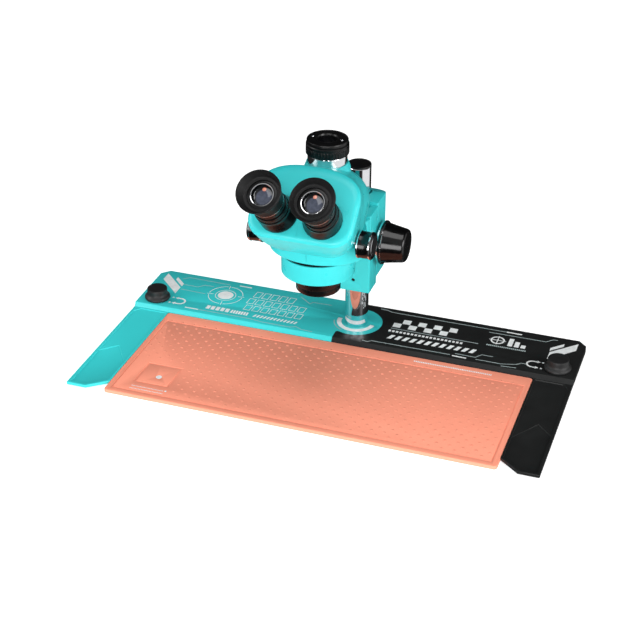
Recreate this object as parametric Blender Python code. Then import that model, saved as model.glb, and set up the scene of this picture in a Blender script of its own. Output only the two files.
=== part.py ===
"""Trinocular stereo microscope on a post, with a wide workbench base and a silicone work mat.

Lengths in this file are millimetres; mesh_object() turns them into metres.
X runs along the wide base, Y points to the back of the bench and Z is up.
The post stands on the X = 0, Y = 0 line of the "post_foot" empty, which carries everything.
"""
import math

import bmesh
import bpy
from mathutils import Matrix, Vector

MM = 0.001
GAP = 0.3                       # air between two pieces that touch
ROUND = 28                      # sides of a large round piece
MEDIUM = 20
SMALL = 12
SHARP = math.radians(32)

# The whole object is shifted back, so that its footprint is centred on the world origin.
POST_SHIFT = 125.0

# Base plate: a rear deck with one tray arm at each end.
BASE_HALF_WIDTH = 312.3
DECK_BACK = 50.2
DECK_FRONT = -49.9
CORNER = 10.9
ARM_FRONT = -262.6
ARM_INNER = 260.2
ARM_CUT_X = 285.5               # where the slanted front corner of an arm starts
ARM_CUT_Y = -242.4
MAT_BACK = -53.5
PLATE_BOTTOM = 1.5
ARM_TOP = 5.5
DECK_TOP = 11.0
TRAY_FLOOR = 4.3
TRAY_DEEP_FLOOR = 3.2
RIM = 3.8

# Silicone mat, flat on the bench between the arms.
MAT_TOP = 5.3
MAT_FRONT = -262.0
MAT_CORNER = 4.0
MAT_HOLE = (-203.4, -212.5)
MAT_HOLE_RADIUS = 4.2

FOOT_RADIUS = 8.0
FOOT_HEIGHT = 2.3
FOOT_PLACES = {"rear_left": (-292.0, 34.0), "rear_right": (292.0, 34.0),
               "front_left": (-292.0, -246.0), "front_right": (292.0, -246.0)}

POST_RADIUS = 16.0
POST_BORE = 12.7
POST_TOP = 248.0
POST_CAP_TOP = 250.9

DECK_KNOB_X = 287.0
DECK_KNOB_Y = -29.4
DECK_KNOB_TOP = 27.3
STUD_RADIUS = 4.0

# Focus carrier, clamped to the post.
SIDE = 35.3                     # half width of the carrier and of the arm's block
CARRIER_FRONT = -28.7
CARRIER_BACK = 27.0
CARRIER_BOTTOM = 104.0
CARRIER_TOP = 212.0
CARRIER_BORE = 18.0
CARRIER_SLOPE_Y = 3.0          # behind this line the top falls away
CARRIER_SLOPE = math.radians(17)
BUSH_TOP = 202.0
CLAMP_Z = 158.0
SHAFT_RADIUS = 3.5
PINION_Y = -23.0
PINION_Z = 153.2
PINION_PITCH = 6.4              # pitch radius
PINION_TEETH = 16
RACK_X = 22.0
RAIL_ROOT = 12.0
RAIL_EDGE = 15.0
RAIL_FRONT = -36.5

# Focus arm, which slides up and down on the carrier's dovetail rail.
BLOCK_FRONT = -60.9
BLOCK_BACK = -29.0
BLOCK_BOTTOM = 94.6
BLOCK_TOP = 207.0
HEAD_Y = -164.3
RING_RADIUS = 46.0
RING_BORE = 38.0
RING_BOTTOM = 178.9
RING_TOP = 204.2
NECK = 31.0
ARM_SCREW_X = 13.0
ARM_SCREW_Z = 110.9

# Head: an oval pot, a rounded body above it and a cover on the sloping face.
HEAD_BOTTOM = 207.0
POT_X = 60.0
POT_Y = 45.5
WALL = 3.5
SPIGOT_BORE = 31.0
FACE_Y = -229.7                 # the middle of the sloping face
FACE_Z = 280.2
TILT = math.radians(45)
FACE_HALF_WIDTH = 64.0
FACE_LOW = -30.0
FACE_HIGH = 67.0
FACE_CORNER = 25.0
COVER_DEPTH = 8.0
HEAD_SPIGOT = RING_BORE - GAP
OBJECTIVE_BOTTOM = 153.0
PORT_Y = -131.6
PORT_SEAT = 310.7
PORT_RING = 24.4
PORT_TOP = 340.9
PORT_SCREW_X = 18.4
PRISM_HALF = 13.0

# Zoom: one shaft drives two lens carriages in opposite directions on two rods.
ZOOM_Y = -190.0
ZOOM_Z = 236.0
ZOOM_PITCH = 3.2
ZOOM_TEETH = 10
CHANNEL_X = 13.0
ROD_X = 34.0
ZOOM_SHAFT = 2.5
ROD_RADIUS = 2.0
ROD_TOP = 266.0
LOWER_PLATE = 214.0
UPPER_PLATE = 252.0
PLATE_THICK = 4.0
PLATE_HALF_X = 38.0
PLATE_HALF_Y = 13.0

# Eyepieces: a socket turns about its own middle, and the tube stands off that middle.
SOCKET_X = 27.0
SOCKET_SPIGOT = 20.5
SOCKET_BOTTOM = -12.0
SOCKET_TOP = 22.0
TUBE_OFFSET = 3.6
TUBE_BORE = 15.6
CUP_SHIFT = 1.8                 # the rim of an eyecup leans outwards


def material(name, colour, roughness, metallic=0.0):
    made = bpy.data.materials.new(name)
    made.use_nodes = True
    shader = made.node_tree.nodes["Principled BSDF"]
    shader.inputs["Base Color"].default_value = (*colour, 1.0)
    shader.inputs["Roughness"].default_value = roughness
    shader.inputs["Metallic"].default_value = metallic
    return made


def empty(name, parent=None, at=(0, 0, 0), turn=(0, 0, 0)):
    made = bpy.data.objects.new(name, None)
    made.location = Vector(at) * MM
    made.rotation_euler = turn
    made.parent = parent
    bpy.context.scene.collection.objects.link(made)
    return made


def mesh_object(name, mesh, look, parent, at=(0, 0, 0), turn=(0, 0, 0)):
    """Turns a bmesh in millimetres into an object in metres, shaded smooth below the sharp angle."""
    bmesh.ops.recalc_face_normals(mesh, faces=mesh.faces)
    bmesh.ops.scale(mesh, vec=(MM, MM, MM), verts=mesh.verts)
    data = bpy.data.meshes.new(name)
    mesh.to_mesh(data)
    mesh.free()
    data.shade_smooth()
    data.set_sharp_from_angle(angle=SHARP)
    if look:
        data.materials.append(look)
    made = bpy.data.objects.new(name, data)
    made.location = Vector(at) * MM
    made.rotation_euler = turn
    made.parent = parent
    bpy.context.scene.collection.objects.link(made)
    return made


def circle(radius, z, sides=ROUND, centre=(0, 0), radius_y=None):
    """A level ring of points; radius_y makes it an oval."""
    depth = radius if radius_y is None else radius_y
    turns = [2 * math.pi * step / sides for step in range(sides)]
    return [Vector((centre[0] + radius * math.cos(a), centre[1] + depth * math.sin(a), z)) for a in turns]


def skin(mesh, rings, loop=False):
    """Joins rings of equal count with side faces. Open ends are capped; a loop makes a tube wall."""
    rows = [[mesh.verts.new(point) for point in ring] for ring in rings]
    pairs = list(zip(rows, rows[1:]))
    if loop:
        pairs.append((rows[-1], rows[0]))
    for low, high in pairs:
        for step in range(len(low)):
            after = (step + 1) % len(low)
            mesh.faces.new((low[step], low[after], high[after], high[step]))
    if not loop:
        mesh.faces.new(rows[0])
        mesh.faces.new(rows[-1])
    return mesh


def lathe(profile, sides=ROUND, centre=(0, 0), loop=False):
    """A round solid from (radius, z) steps; with loop=True the steps close into a tube."""
    return skin(bmesh.new(), [circle(radius, z, sides, centre) for radius, z in profile], loop)


def slab(outline, low, high):
    """A flat plate with the outline's (x, y) points, between two heights."""
    return skin(bmesh.new(), [[Vector((x, y, z)) for x, y in outline] for z in (low, high)])


def box(x, y, z):
    """A box from three (low, high) pairs."""
    corners = [(x[0], y[0]), (x[1], y[0]), (x[1], y[1]), (x[0], y[1])]
    return skin(bmesh.new(), [[Vector((a, b, c)) for a, b in corners] for c in z])


def hull(points):
    """The smallest convex solid round the points."""
    mesh = bmesh.new()
    verts = [mesh.verts.new(point) for point in points]
    made = bmesh.ops.convex_hull(mesh, input=verts)
    inside = {item for item in made["geom_interior"] if isinstance(item, bmesh.types.BMVert)}
    bmesh.ops.delete(mesh, geom=list(inside), context="VERTS")
    return mesh


def arc(centre, radius, start, end, steps, radius_y=None):
    """Points along an arc, with angles in degrees."""
    depth = radius if radius_y is None else radius_y
    angles = [math.radians(start + (end - start) * step / steps) for step in range(steps + 1)]
    return [(centre[0] + radius * math.cos(a), centre[1] + depth * math.sin(a)) for a in angles]


def combine(target, mesh, operation, parent=None, at=(0, 0, 0), turn=(0, 0, 0)):
    """Adds a Boolean modifier that cuts or joins a hidden helper solid."""
    helper = mesh_object(f"{operation.lower()}_{target.name}_{len(target.modifiers)}", mesh, None,
                         parent or target.parent, at, turn)
    helper.hide_render = True
    helper.display_type = "WIRE"
    step = target.modifiers.new(operation.title(), "BOOLEAN")
    step.operation = operation
    step.solver = "EXACT"
    step.object = helper


def cut(target, mesh, **place):
    combine(target, mesh, "DIFFERENCE", **place)


def join(target, mesh, **place):
    combine(target, mesh, "UNION", **place)


ALONG_X = (0, math.radians(90), 0)      # turns a lathe's own Z to +X
ALONG_BACK = (math.radians(-90), 0, 0)  # turns a lathe's own Z to +Y
ALONG_FRONT = (math.radians(90), 0, 0)  # turns a lathe's own Z to -Y
EYE_TURN = (TILT, 0, 0)                 # turns Z to the eyepieces' direction, up and to the front


def base_plate(foot, looks):
    """The painted plate: deck, two tray arms with stepped pockets, and holes from below."""
    back = [(-BASE_HALF_WIDTH + CORNER, DECK_BACK), (BASE_HALF_WIDTH - CORNER, DECK_BACK),
            (BASE_HALF_WIDTH, DECK_BACK - CORNER)]
    low = back + [(BASE_HALF_WIDTH, MAT_BACK), (-BASE_HALF_WIDTH, MAT_BACK),
                  (-BASE_HALF_WIDTH, DECK_BACK - CORNER)]
    high = back + [(BASE_HALF_WIDTH, DECK_FRONT), (-BASE_HALF_WIDTH, DECK_FRONT),
                   (-BASE_HALF_WIDTH, DECK_BACK - CORNER)]
    edge = 0.8
    points = [Vector((x, y, z)) for x, y in low for z in (PLATE_BOTTOM, ARM_TOP)]
    points += [Vector((x, y, DECK_TOP - edge)) for x, y in high]
    shrink = 1 - edge / BASE_HALF_WIDTH
    points += [Vector((x * shrink, y - math.copysign(edge, y), DECK_TOP)) for x, y in high]
    plate = mesh_object("base_plate", hull(points), looks["teal"], foot)
    for side in (-1, 1):
        arm = [(side * x, y) for x, y in (
            (ARM_INNER, DECK_FRONT + 12), (BASE_HALF_WIDTH, DECK_FRONT + 12), (BASE_HALF_WIDTH, ARM_FRONT),
            (ARM_CUT_X, ARM_FRONT), (ARM_INNER, ARM_CUT_Y))]
        join(plate, slab(arm, PLATE_BOTTOM, ARM_TOP))
    for side in (-1, 1):
        inner = ARM_INNER + RIM * 0.7
        outer = BASE_HALF_WIDTH - RIM
        front = ARM_FRONT + RIM
        slant = [(outer, front), (ARM_CUT_X + 1.5, front), (inner, ARM_CUT_Y + 3)]
        tray = [(inner, MAT_BACK - 2.5), (outer - 8, MAT_BACK - 2.5), (outer, MAT_BACK - 12)] + slant
        cut(plate, slab([(side * x, y) for x, y in tray], TRAY_FLOOR, ARM_TOP + 3))
        deep = [(inner, -193.0), (ARM_CUT_X + 2.5, -155.0), (outer, -175.0)] + slant
        cut(plate, slab([(side * x, y) for x, y in deep], TRAY_DEEP_FLOOR, ARM_TOP + 3))
        cut(plate, lathe([(STUD_RADIUS + GAP, -1), (STUD_RADIUS + GAP, DECK_TOP + 1)], SMALL,
                         (side * DECK_KNOB_X, DECK_KNOB_Y)))
    for x, y in FOOT_PLACES.values():
        cut(plate, lathe([(FOOT_RADIUS + GAP, 0), (FOOT_RADIUS + GAP, FOOT_HEIGHT + GAP)], SMALL, (x, y)))
    cut(plate, lathe([(5.3, -1), (5.3, DECK_TOP + 1)], SMALL))
    cut(plate, lathe([(9.5, -1), (9.5, 6.5)], SMALL))
    return plate


def work_mat(foot, looks):
    """A flat silicone sheet with rounded corners and one round hole."""
    half = ARM_INNER - GAP
    back = MAT_BACK - GAP
    outline = []
    for x, y, start in ((half, back, 0), (-half, back, 90), (-half, MAT_FRONT, 180), (half, MAT_FRONT, 270)):
        centre = (x - math.copysign(MAT_CORNER, x), y + (MAT_CORNER if y == MAT_FRONT else -MAT_CORNER))
        outline += arc(centre, MAT_CORNER, start, start + 90, 4)
    mat = mesh_object("work_mat", slab(outline, 0, MAT_TOP), looks["mat"], foot)
    cut(mat, lathe([(MAT_HOLE_RADIUS, -2), (MAT_HOLE_RADIUS, MAT_TOP + 2)], MEDIUM, MAT_HOLE))


def post_parts(foot, looks):
    """The chrome tube with a solid lower end, its cap, and the bolt that holds it from below."""
    post = mesh_object("post", lathe([
        (POST_RADIUS - 0.6, DECK_TOP + GAP), (POST_RADIUS, DECK_TOP + 1), (POST_RADIUS, POST_TOP)]),
        looks["chrome"], foot)
    cut(post, lathe([(POST_BORE, 60), (POST_BORE, POST_TOP + 5)], MEDIUM))
    cut(post, lathe([(5.3, 0), (5.3, 37)], SMALL))
    mesh_object("post_cap", lathe([
        (POST_BORE - GAP, POST_TOP - 9), (POST_BORE - GAP, POST_TOP + GAP), (POST_RADIUS, POST_TOP + GAP),
        (POST_RADIUS, POST_CAP_TOP - 0.6), (POST_RADIUS - 0.6, POST_CAP_TOP)]), looks["black"], foot)
    mesh_object("post_bolt", lathe([
        (8.2, 2.0), (8.5, 2.4), (8.5, 6.2), (5.0, 6.2), (5.0, 34), (4.2, 35)], SMALL), looks["steel"], foot)
    for place, (x, y) in FOOT_PLACES.items():
        mesh_object(f"foot_{place}", lathe([
            (FOOT_RADIUS - 0.6, 0), (FOOT_RADIUS, 0.6), (FOOT_RADIUS, FOOT_HEIGHT)], SMALL),
            looks["rubber"], foot, at=(x, y, 0))


def deck_knobs(foot, looks):
    """One flared knob on a steel stud at each end of the deck."""
    for name, side in (("left", -1), ("right", 1)):
        axis = empty(f"axis_deck_knob_{name}", foot, (side * DECK_KNOB_X, DECK_KNOB_Y, DECK_TOP))
        top = DECK_KNOB_TOP - DECK_TOP
        mesh_object(f"deck_knob_{name}", lathe([
            (16.6, GAP), (17.8, 1.0), (18.0, 3.2), (17.2, 5.0), (14.9, 7.0), (14.1, 9.0), (14.1, top - 1.0),
            (13.4, top - 0.2), (12.4, top)], MEDIUM), looks["black"], axis)
        cut(bpy.data.objects[f"deck_knob_{name}"],
            lathe([(STUD_RADIUS + GAP, -2), (STUD_RADIUS + GAP, 10 + GAP)], SMALL))
        mesh_object(f"deck_stud_{name}", lathe([
            (STUD_RADIUS - 0.6, -8.4), (STUD_RADIUS, -7.8), (STUD_RADIUS, 10)], SMALL), looks["steel"], axis)


def toothed(teeth, pitch, tooth, x_from, x_to):
    """A spur gear along Z from straight-sided teeth; each tooth is narrower than its gap, for backlash."""
    outer = pitch + tooth
    inner = pitch - tooth * 1.3
    step = 2 * math.pi / teeth
    spots = ((-0.25, inner), (-0.12, outer), (0.12, outer), (0.25, inner))
    rings = []
    for z in (x_from, x_to):
        rings.append([Vector((r * math.cos((n + part) * step), r * math.sin((n + part) * step), z))
                      for n in range(teeth) for part, r in spots])
    return skin(bmesh.new(), rings)


def rack_outline(teeth, pitch_length, tooth, back):
    """Side view of a rack: (across, along) points, teeth pointing to +across with the pitch line at 0."""
    points = []
    for n in range(teeth):
        middle = (n - (teeth - 1) / 2) * pitch_length
        points += [(-tooth * 1.3, middle - 0.27 * pitch_length), (tooth, middle - 0.13 * pitch_length),
                   (tooth, middle + 0.13 * pitch_length), (-tooth * 1.3, middle + 0.27 * pitch_length)]
    end = (teeth / 2) * pitch_length
    return [(back, -end), (-tooth * 1.3, -end)] + points + [(-tooth * 1.3, end), (back, end)]


def rack_bar(outline, facing, y, z, x_from, x_to):
    """A rack's side view drawn out along X; facing is the side of Y its teeth point to."""
    rows = [[Vector((x, y + facing * across, z + along)) for across, along in outline]
            for x in (x_from, x_to)]
    return skin(bmesh.new(), rows)


def carrier_parts(swing, looks):
    """The housing that clamps the post, with its dovetail rail and shaft bushes."""
    outline = [(-SIDE, CARRIER_FRONT), (SIDE, CARRIER_FRONT)]
    outline += arc((SIDE - 24, CARRIER_BACK - 24), 24, 0, 90, 8)
    outline += arc((24 - SIDE, CARRIER_BACK - 24), 24, 90, 180, 8)
    rings = [[Vector((x * scale, y * scale, z)) for x, y in outline] for z, scale in (
        (CARRIER_BOTTOM, 0.97), (CARRIER_BOTTOM + 1.2, 1), (CARRIER_TOP - 1.2, 1), (CARRIER_TOP, 0.97))]
    carrier = mesh_object("carrier", skin(bmesh.new(), rings), looks["teal"], swing)
    cut(carrier, box((-50, 50), (0, 40), (0, 20)), at=(0, CARRIER_SLOPE_Y, CARRIER_TOP),
        turn=(-CARRIER_SLOPE, 0, 0))
    cut(carrier, lathe([(CARRIER_BORE, 90), (CARRIER_BORE, 220)], MEDIUM))
    cut(carrier, lathe([(SHAFT_RADIUS + GAP, -50), (SHAFT_RADIUS + GAP, 50)], SMALL),
        at=(0, PINION_Y, PINION_Z), turn=ALONG_X)
    for side in (-1, 1):
        cut(carrier, lathe([(5.4, -4.4), (5.4, 4.4)], SMALL),
            at=(side * (SIDE - 0.6), PINION_Y, PINION_Z), turn=ALONG_X)
    cut(carrier, box((RACK_X - 5, RACK_X + 5), (CARRIER_FRONT - 5, PINION_Y + 8.2),
                     (PINION_Z - 9, PINION_Z + 9)))
    cut(carrier, lathe([(3.3, 10), (3.3, 40)], SMALL), at=(0, 0, CLAMP_Z), turn=ALONG_BACK)
    for name, side in (("left", -1), ("right", 1)):
        ring = [(5.1, -3.7), (5.1, 1.6), (SHAFT_RADIUS + GAP, 1.6), (SHAFT_RADIUS + GAP, -3.7)]
        mesh_object(f"shaft_bush_{name}", lathe([(r, side * z) for r, z in ring], SMALL, loop=True),
                    looks["brass"], swing, at=(side * (SIDE - 1), PINION_Y, PINION_Z), turn=ALONG_X)
    rail = [(-RAIL_ROOT, CARRIER_FRONT - GAP), (RAIL_ROOT, CARRIER_FRONT - GAP),
            (RAIL_EDGE, RAIL_FRONT), (-RAIL_EDGE, RAIL_FRONT)]
    mesh_object("dovetail_rail", slab(rail, CARRIER_BOTTOM + 4, CARRIER_TOP - 4), looks["steel"], swing)
    mesh_object("post_bush", lathe([
        (POST_RADIUS + GAP, CARRIER_BOTTOM + 2), (POST_RADIUS + GAP, BUSH_TOP),
        (CARRIER_BORE - GAP, BUSH_TOP), (CARRIER_BORE - GAP, CARRIER_BOTTOM + 2)],
        MEDIUM, loop=True), looks["nylon"], swing.parent)
    clamp = empty("axis_clamp", swing, (0, 0, CLAMP_Z), ALONG_BACK)
    knob = mesh_object("clamp_knob", lathe([
        (9.0, 28.0), (9.0, 33.5), (15.5, 35), (17.0, 36.5), (17.0, 46), (15.5, 47.5), (6.0, 48)],
        MEDIUM), looks["black"], clamp)
    cut(knob, lathe([(3.3, 20), (3.3, 42)], SMALL))
    mesh_object("clamp_stud", lathe([(2.4, 18.4), (3.0, 19), (3.0, 41.6)], SMALL), looks["steel"], clamp)


def pinion_parts(swing, looks):
    """The toothed shaft through the carrier and a collar and a knob on each end."""
    axis = empty("axis_pinion", swing, (0, PINION_Y, PINION_Z), ALONG_X)
    shaft = mesh_object("pinion_shaft", lathe([(SHAFT_RADIUS, -62), (SHAFT_RADIUS, 62)], SMALL),
                        looks["steel"], axis)
    join(shaft, toothed(PINION_TEETH, PINION_PITCH, 0.55, RACK_X - 3.8, RACK_X + 3.8))
    for name, side in (("left", -1), ("right", 1)):
        bore = SHAFT_RADIUS + GAP
        collar = [(bore, 37.6), (24.0, 37.6), (27.0, 38.6), (27.0, 41.4), (bore, 41.4)]
        knob = [(bore, 41.7), (29.0, 41.7), (29.4, 42.2), (29.4, 44.6), (28.8, 45.2), (27.0, 45.6),
                (22.6, 71.5), (21.2, 74.2), (19.0, 75.2), (0.0, 75.2)]
        mesh_object(f"focus_collar_{name}", lathe([(r, side * z) for r, z in collar], ROUND, loop=True),
                    looks["chrome"], axis)
        body = mesh_object(f"focus_knob_{name}", lathe([(r, side * z) for r, z in knob[1:-1]]),
                           looks["black"], axis)
        cut(body, lathe([(bore, side * 30), (bore, side * 62.5)], SMALL))


def focus_arm(slide, looks):
    """The casting with the head ring: a tall block behind, a neck and the ring in front."""
    edge = 1.5
    ring_rows = []
    levels = ((BLOCK_BOTTOM, edge), (BLOCK_BOTTOM + edge, 0), (BLOCK_TOP - edge, 0), (BLOCK_TOP, edge))
    for z, inset in levels:
        ring_rows.append([Vector((x, y, z)) for x, y in (
            (-SIDE + inset, BLOCK_BACK), (-SIDE + inset, BLOCK_FRONT + edge),
            (-SIDE + inset + edge, BLOCK_FRONT + inset), (SIDE - inset - edge, BLOCK_FRONT + inset),
            (SIDE - inset, BLOCK_FRONT + edge), (SIDE - inset, BLOCK_BACK))])
    arm = mesh_object("focus_arm", skin(bmesh.new(), ring_rows), looks["teal"], slide)
    neck = [(NECK + 3, BLOCK_FRONT + 6), (-NECK - 3, BLOCK_FRONT + 6), (-NECK - 3, BLOCK_FRONT - 3),
            (-NECK, BLOCK_FRONT - 12), (-NECK, HEAD_Y + 20), (NECK, HEAD_Y + 20),
            (NECK, BLOCK_FRONT - 12), (NECK + 3, BLOCK_FRONT - 3)]
    join(arm, slab(neck, RING_BOTTOM + 1, RING_TOP - 1))
    ring = [(RING_RADIUS - 1, RING_BOTTOM), (RING_RADIUS, RING_BOTTOM + 1), (RING_RADIUS, RING_TOP - 1),
            (RING_RADIUS - 1, RING_TOP)]
    join(arm, lathe(ring, ROUND, (0, HEAD_Y)))
    cut(arm, lathe([(RING_BORE, 150), (RING_BORE, 230)], ROUND, (0, HEAD_Y)))
    groove = [(-RAIL_ROOT - GAP, BLOCK_BACK + 5), (RAIL_ROOT + GAP, BLOCK_BACK + 5),
              (RAIL_ROOT + GAP, BLOCK_BACK - 0.1), (RAIL_EDGE + GAP + 0.1, RAIL_FRONT - GAP),
              (-RAIL_EDGE - GAP - 0.1, RAIL_FRONT - GAP), (-RAIL_ROOT - GAP, BLOCK_BACK - 0.1)]
    cut(arm, slab(groove, 80, 230))
    rack_back = PINION_Y - PINION_PITCH - 5.5
    cut(arm, box((RACK_X - 4.1, RACK_X + 4.1), (rack_back - GAP, BLOCK_BACK + 4), (80, 230)))
    # The pinion has a tooth on this side, so an even rack puts a gap at the pinion's height.
    pitch_length = 2 * math.pi * PINION_PITCH / PINION_TEETH
    rack = rack_outline(26, pitch_length, 0.55, -5.5)
    mesh_object("focus_rack", rack_bar(
        rack, 1, PINION_Y - PINION_PITCH, PINION_Z, RACK_X - 3.8, RACK_X + 3.8), looks["brass"], slide)
    spot = (ARM_SCREW_X, BLOCK_FRONT, ARM_SCREW_Z)
    cut(arm, lathe([(2.5, -9), (2.5, 3)], SMALL), at=spot, turn=ALONG_FRONT)
    mesh_object("arm_screw", lathe([(2.2, -8.5), (2.2, -1.2)], SMALL), looks["steel"], slide, at=spot,
                turn=ALONG_FRONT)
    lock = math.radians(150)
    turn = (math.radians(90), 0, lock + math.radians(90))
    spot = (0, HEAD_Y, (RING_BOTTOM + RING_TOP) / 2)
    cut(arm, lathe([(2.5, 34), (2.5, 50)], SMALL), at=spot, turn=turn)
    mesh_object("head_lock_screw", lathe([(2.2, HEAD_SPIGOT + GAP + 0.3), (2.2, RING_RADIUS - 0.8)], SMALL),
                looks["steel"], slide, at=spot, turn=turn)


def face_point(across, up, depth):
    """A point given on the sloping face: across, up along it, and depth behind it."""
    return Vector((across, FACE_Y, FACE_Z)) + Matrix.Rotation(TILT, 3, "X") @ Vector((0, up, -depth))


def shield(wide, low, high, corner, depth):
    """A section parallel to the face: round lower corners, straight sides and an arched top."""
    side_top = low + 0.577 * (high - low)
    flat = arc((wide - corner, low + corner), corner, -90, 0, 5)
    flat += arc((0, side_top), wide, 0, 180, 20, high - side_top)
    flat += arc((corner - wide, low + corner), corner, 180, 270, 5)
    return [face_point(x, up, depth) for x, up in flat]


# Sections of the head's rounded body: depth behind the face, half width, lowest and highest point,
# and the radius of the lower corners.
BODY_SECTIONS = (
    (8.3, 63.0, -29.5, 66.0, 25.0),
    (26.0, 61.0, -31.0, 74.0, 26.0),
    (46.0, 58.6, -30.0, 84.5, 30.0),
    (66.0, 57.0, -22.0, 94.0, 34.0),
    (84.0, 54.0, -8.0, 98.5, 38.0),
    (100.0, 49.0, 7.0, 95.5, 36.0),
    (114.0, 41.0, 23.0, 88.0, 28.0),
    (124.0, 30.0, 37.0, 79.0, 18.0),
    (130.0, 15.0, 50.0, 68.0, 8.0),
)


def head_shell(wall=0):
    """The rounded body behind the face, or with a wall the hollow inside it."""
    rings = []
    for depth, wide, low, high, corner in BODY_SECTIONS[:-1] if wall else BODY_SECTIONS:
        if wall:
            depth = 2.0 if depth < 10 else depth - wall * 0.5
        rings.append(shield(wide - wall, low + wall, high - wall, corner - wall * 0.5, depth))
    return skin(bmesh.new(), rings)


def oval(z, radius_x, radius_y):
    return circle(radius_x, z, ROUND, (0, HEAD_Y), radius_y)


def head_parts(head, looks):
    """The hollow body with its spigot and port boss, and the cover on the sloping face."""
    body = mesh_object("head_body", head_shell(), looks["teal"], head)
    join(body, skin(bmesh.new(), [oval(HEAD_BOTTOM, POT_X - 1.2, POT_Y - 1.2),
                                  oval(HEAD_BOTTOM + 1.2, POT_X, POT_Y), oval(226, POT_X, POT_Y + 1),
                                  oval(240, POT_X - 2.5, POT_Y + 3)]))
    join(body, lathe([(HEAD_SPIGOT - 0.6, RING_BOTTOM + 2), (HEAD_SPIGOT, RING_BOTTOM + 2.6),
                      (HEAD_SPIGOT, 215)], ROUND, (0, HEAD_Y)))
    cut(body, head_shell(WALL))
    cut(body, skin(bmesh.new(), [oval(HEAD_BOTTOM + WALL, POT_X - WALL, POT_Y - WALL),
                                 oval(243, POT_X - WALL - 4, POT_Y - WALL)]))
    join(body, lathe([(34, 284), (34, 302), (31, 305), (28.7, 308), (27.6, PORT_SEAT)], ROUND, (0, PORT_Y)))
    cut(body, lathe([(PORT_RING + GAP, PORT_SEAT - 2.5), (PORT_RING + GAP, 330)], ROUND, (0, PORT_Y)))
    cut(body, lathe([(19.0, 270), (19.0, 320)], MEDIUM, (0, PORT_Y)))
    cut(body, lathe([(SPIGOT_BORE, 150), (SPIGOT_BORE, 222)], ROUND, (0, HEAD_Y)))
    cut(body, lathe([(ZOOM_SHAFT + GAP, -90), (ZOOM_SHAFT + GAP, 90)], SMALL), at=(0, ZOOM_Y, ZOOM_Z),
        turn=ALONG_X)
    for side in (-1, 1):
        cut(body, lathe([(ROD_RADIUS + GAP, HEAD_BOTTOM + 1.5), (ROD_RADIUS + GAP, 220)], SMALL,
                        (side * ROD_X, HEAD_Y)))

    rows = ((-4.0, 0), (-1.4, 0.8), (-0.3, 2.4), (0, 4.5), (0, COVER_DEPTH))
    cover = mesh_object("face_cover", skin(bmesh.new(), [
        shield(FACE_HALF_WIDTH + inset, FACE_LOW - inset, FACE_HIGH + inset, FACE_CORNER + inset / 2, depth)
        for inset, depth in rows]), looks["teal"], head)
    for side in (-1, 1):
        cut(cover, lathe([(SOCKET_SPIGOT + GAP, -20), (SOCKET_SPIGOT + GAP, 12)]),
            at=(side * SOCKET_X, FACE_Y, FACE_Z), turn=EYE_TURN)


def objective_parts(head, looks):
    """The stepped barrel in the head's spigot, with its large lens."""
    place = (0, HEAD_Y)
    mesh_object("objective_barrel", lathe([
        (24.0, OBJECTIVE_BOTTOM), (27.4, OBJECTIVE_BOTTOM), (28.0, 153.8), (28.0, 160.6), (28.6, 161.2),
        (28.6, 174.0), (30.6, 175.0), (30.6, 206.5), (26.0, 206.5), (26.0, 170.0), (24.0, 169.0)],
        ROUND, place, loop=True), looks["black"], head)
    mesh_object("objective_lens", lathe([
        (25.7, 170.4), (25.7, 173.2), (20.0, 175.2), (10.0, 176.6), (0.8, 177.0)], MEDIUM, place),
        looks["glass"], head)


def port_parts(head, looks):
    """The camera port: fixed base ring, turning lock ring, screwed-down top, and the prism below it."""
    place = (0, PORT_Y)
    mesh_object("port_base_ring", lathe([
        (19.2, PORT_SEAT - 2.2), (PORT_RING, PORT_SEAT - 2.2), (PORT_RING, 321.6), (19.2, 321.6)],
        ROUND, place, loop=True), looks["chrome"], head)
    mesh_object("port_lock_ring", lathe([
        (21.6, 321.9), (26.4, 321.9), (27.2, 322.8), (27.2, 335.0), (26.6, 335.9), (21.6, 335.9)],
        ROUND, loop=True), looks["black"], empty("axis_port_ring", head, (0, PORT_Y, 0)))
    top = mesh_object("port_top", lathe([
        (21.2, 321.9), (21.2, 336.2), (26.0, 336.2), (26.0, 340.0), (25.2, PORT_TOP), (13.5, PORT_TOP),
        (12.6, 338.6), (11.4, 338.6), (11.4, 321.9)], ROUND, place, loop=True), looks["black"], head)
    for name, side in (("left", -1), ("right", 1)):
        spot = (side * PORT_SCREW_X, PORT_Y)
        cut(top, lathe([(1.8, 335.0), (1.8, 345.0)], SMALL, spot))
        screw = lathe([(1.4, 335.4), (1.4, 340.2)], SMALL, spot)
        mesh_object(f"port_screw_{name}", screw, looks["steel"], head)
    mesh_object("port_lens", lathe([
        (11.1, 328.0), (11.1, 330.0), (8.0, 331.4), (0.8, 332.0)], MEDIUM, place), looks["glass"], head)
    mesh_object("beam_splitter", box((-PRISM_HALF, PRISM_HALF), (PORT_Y - PRISM_HALF, PORT_Y + PRISM_HALF),
                                     (272.0, 283.6)), looks["glass"], head)


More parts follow.
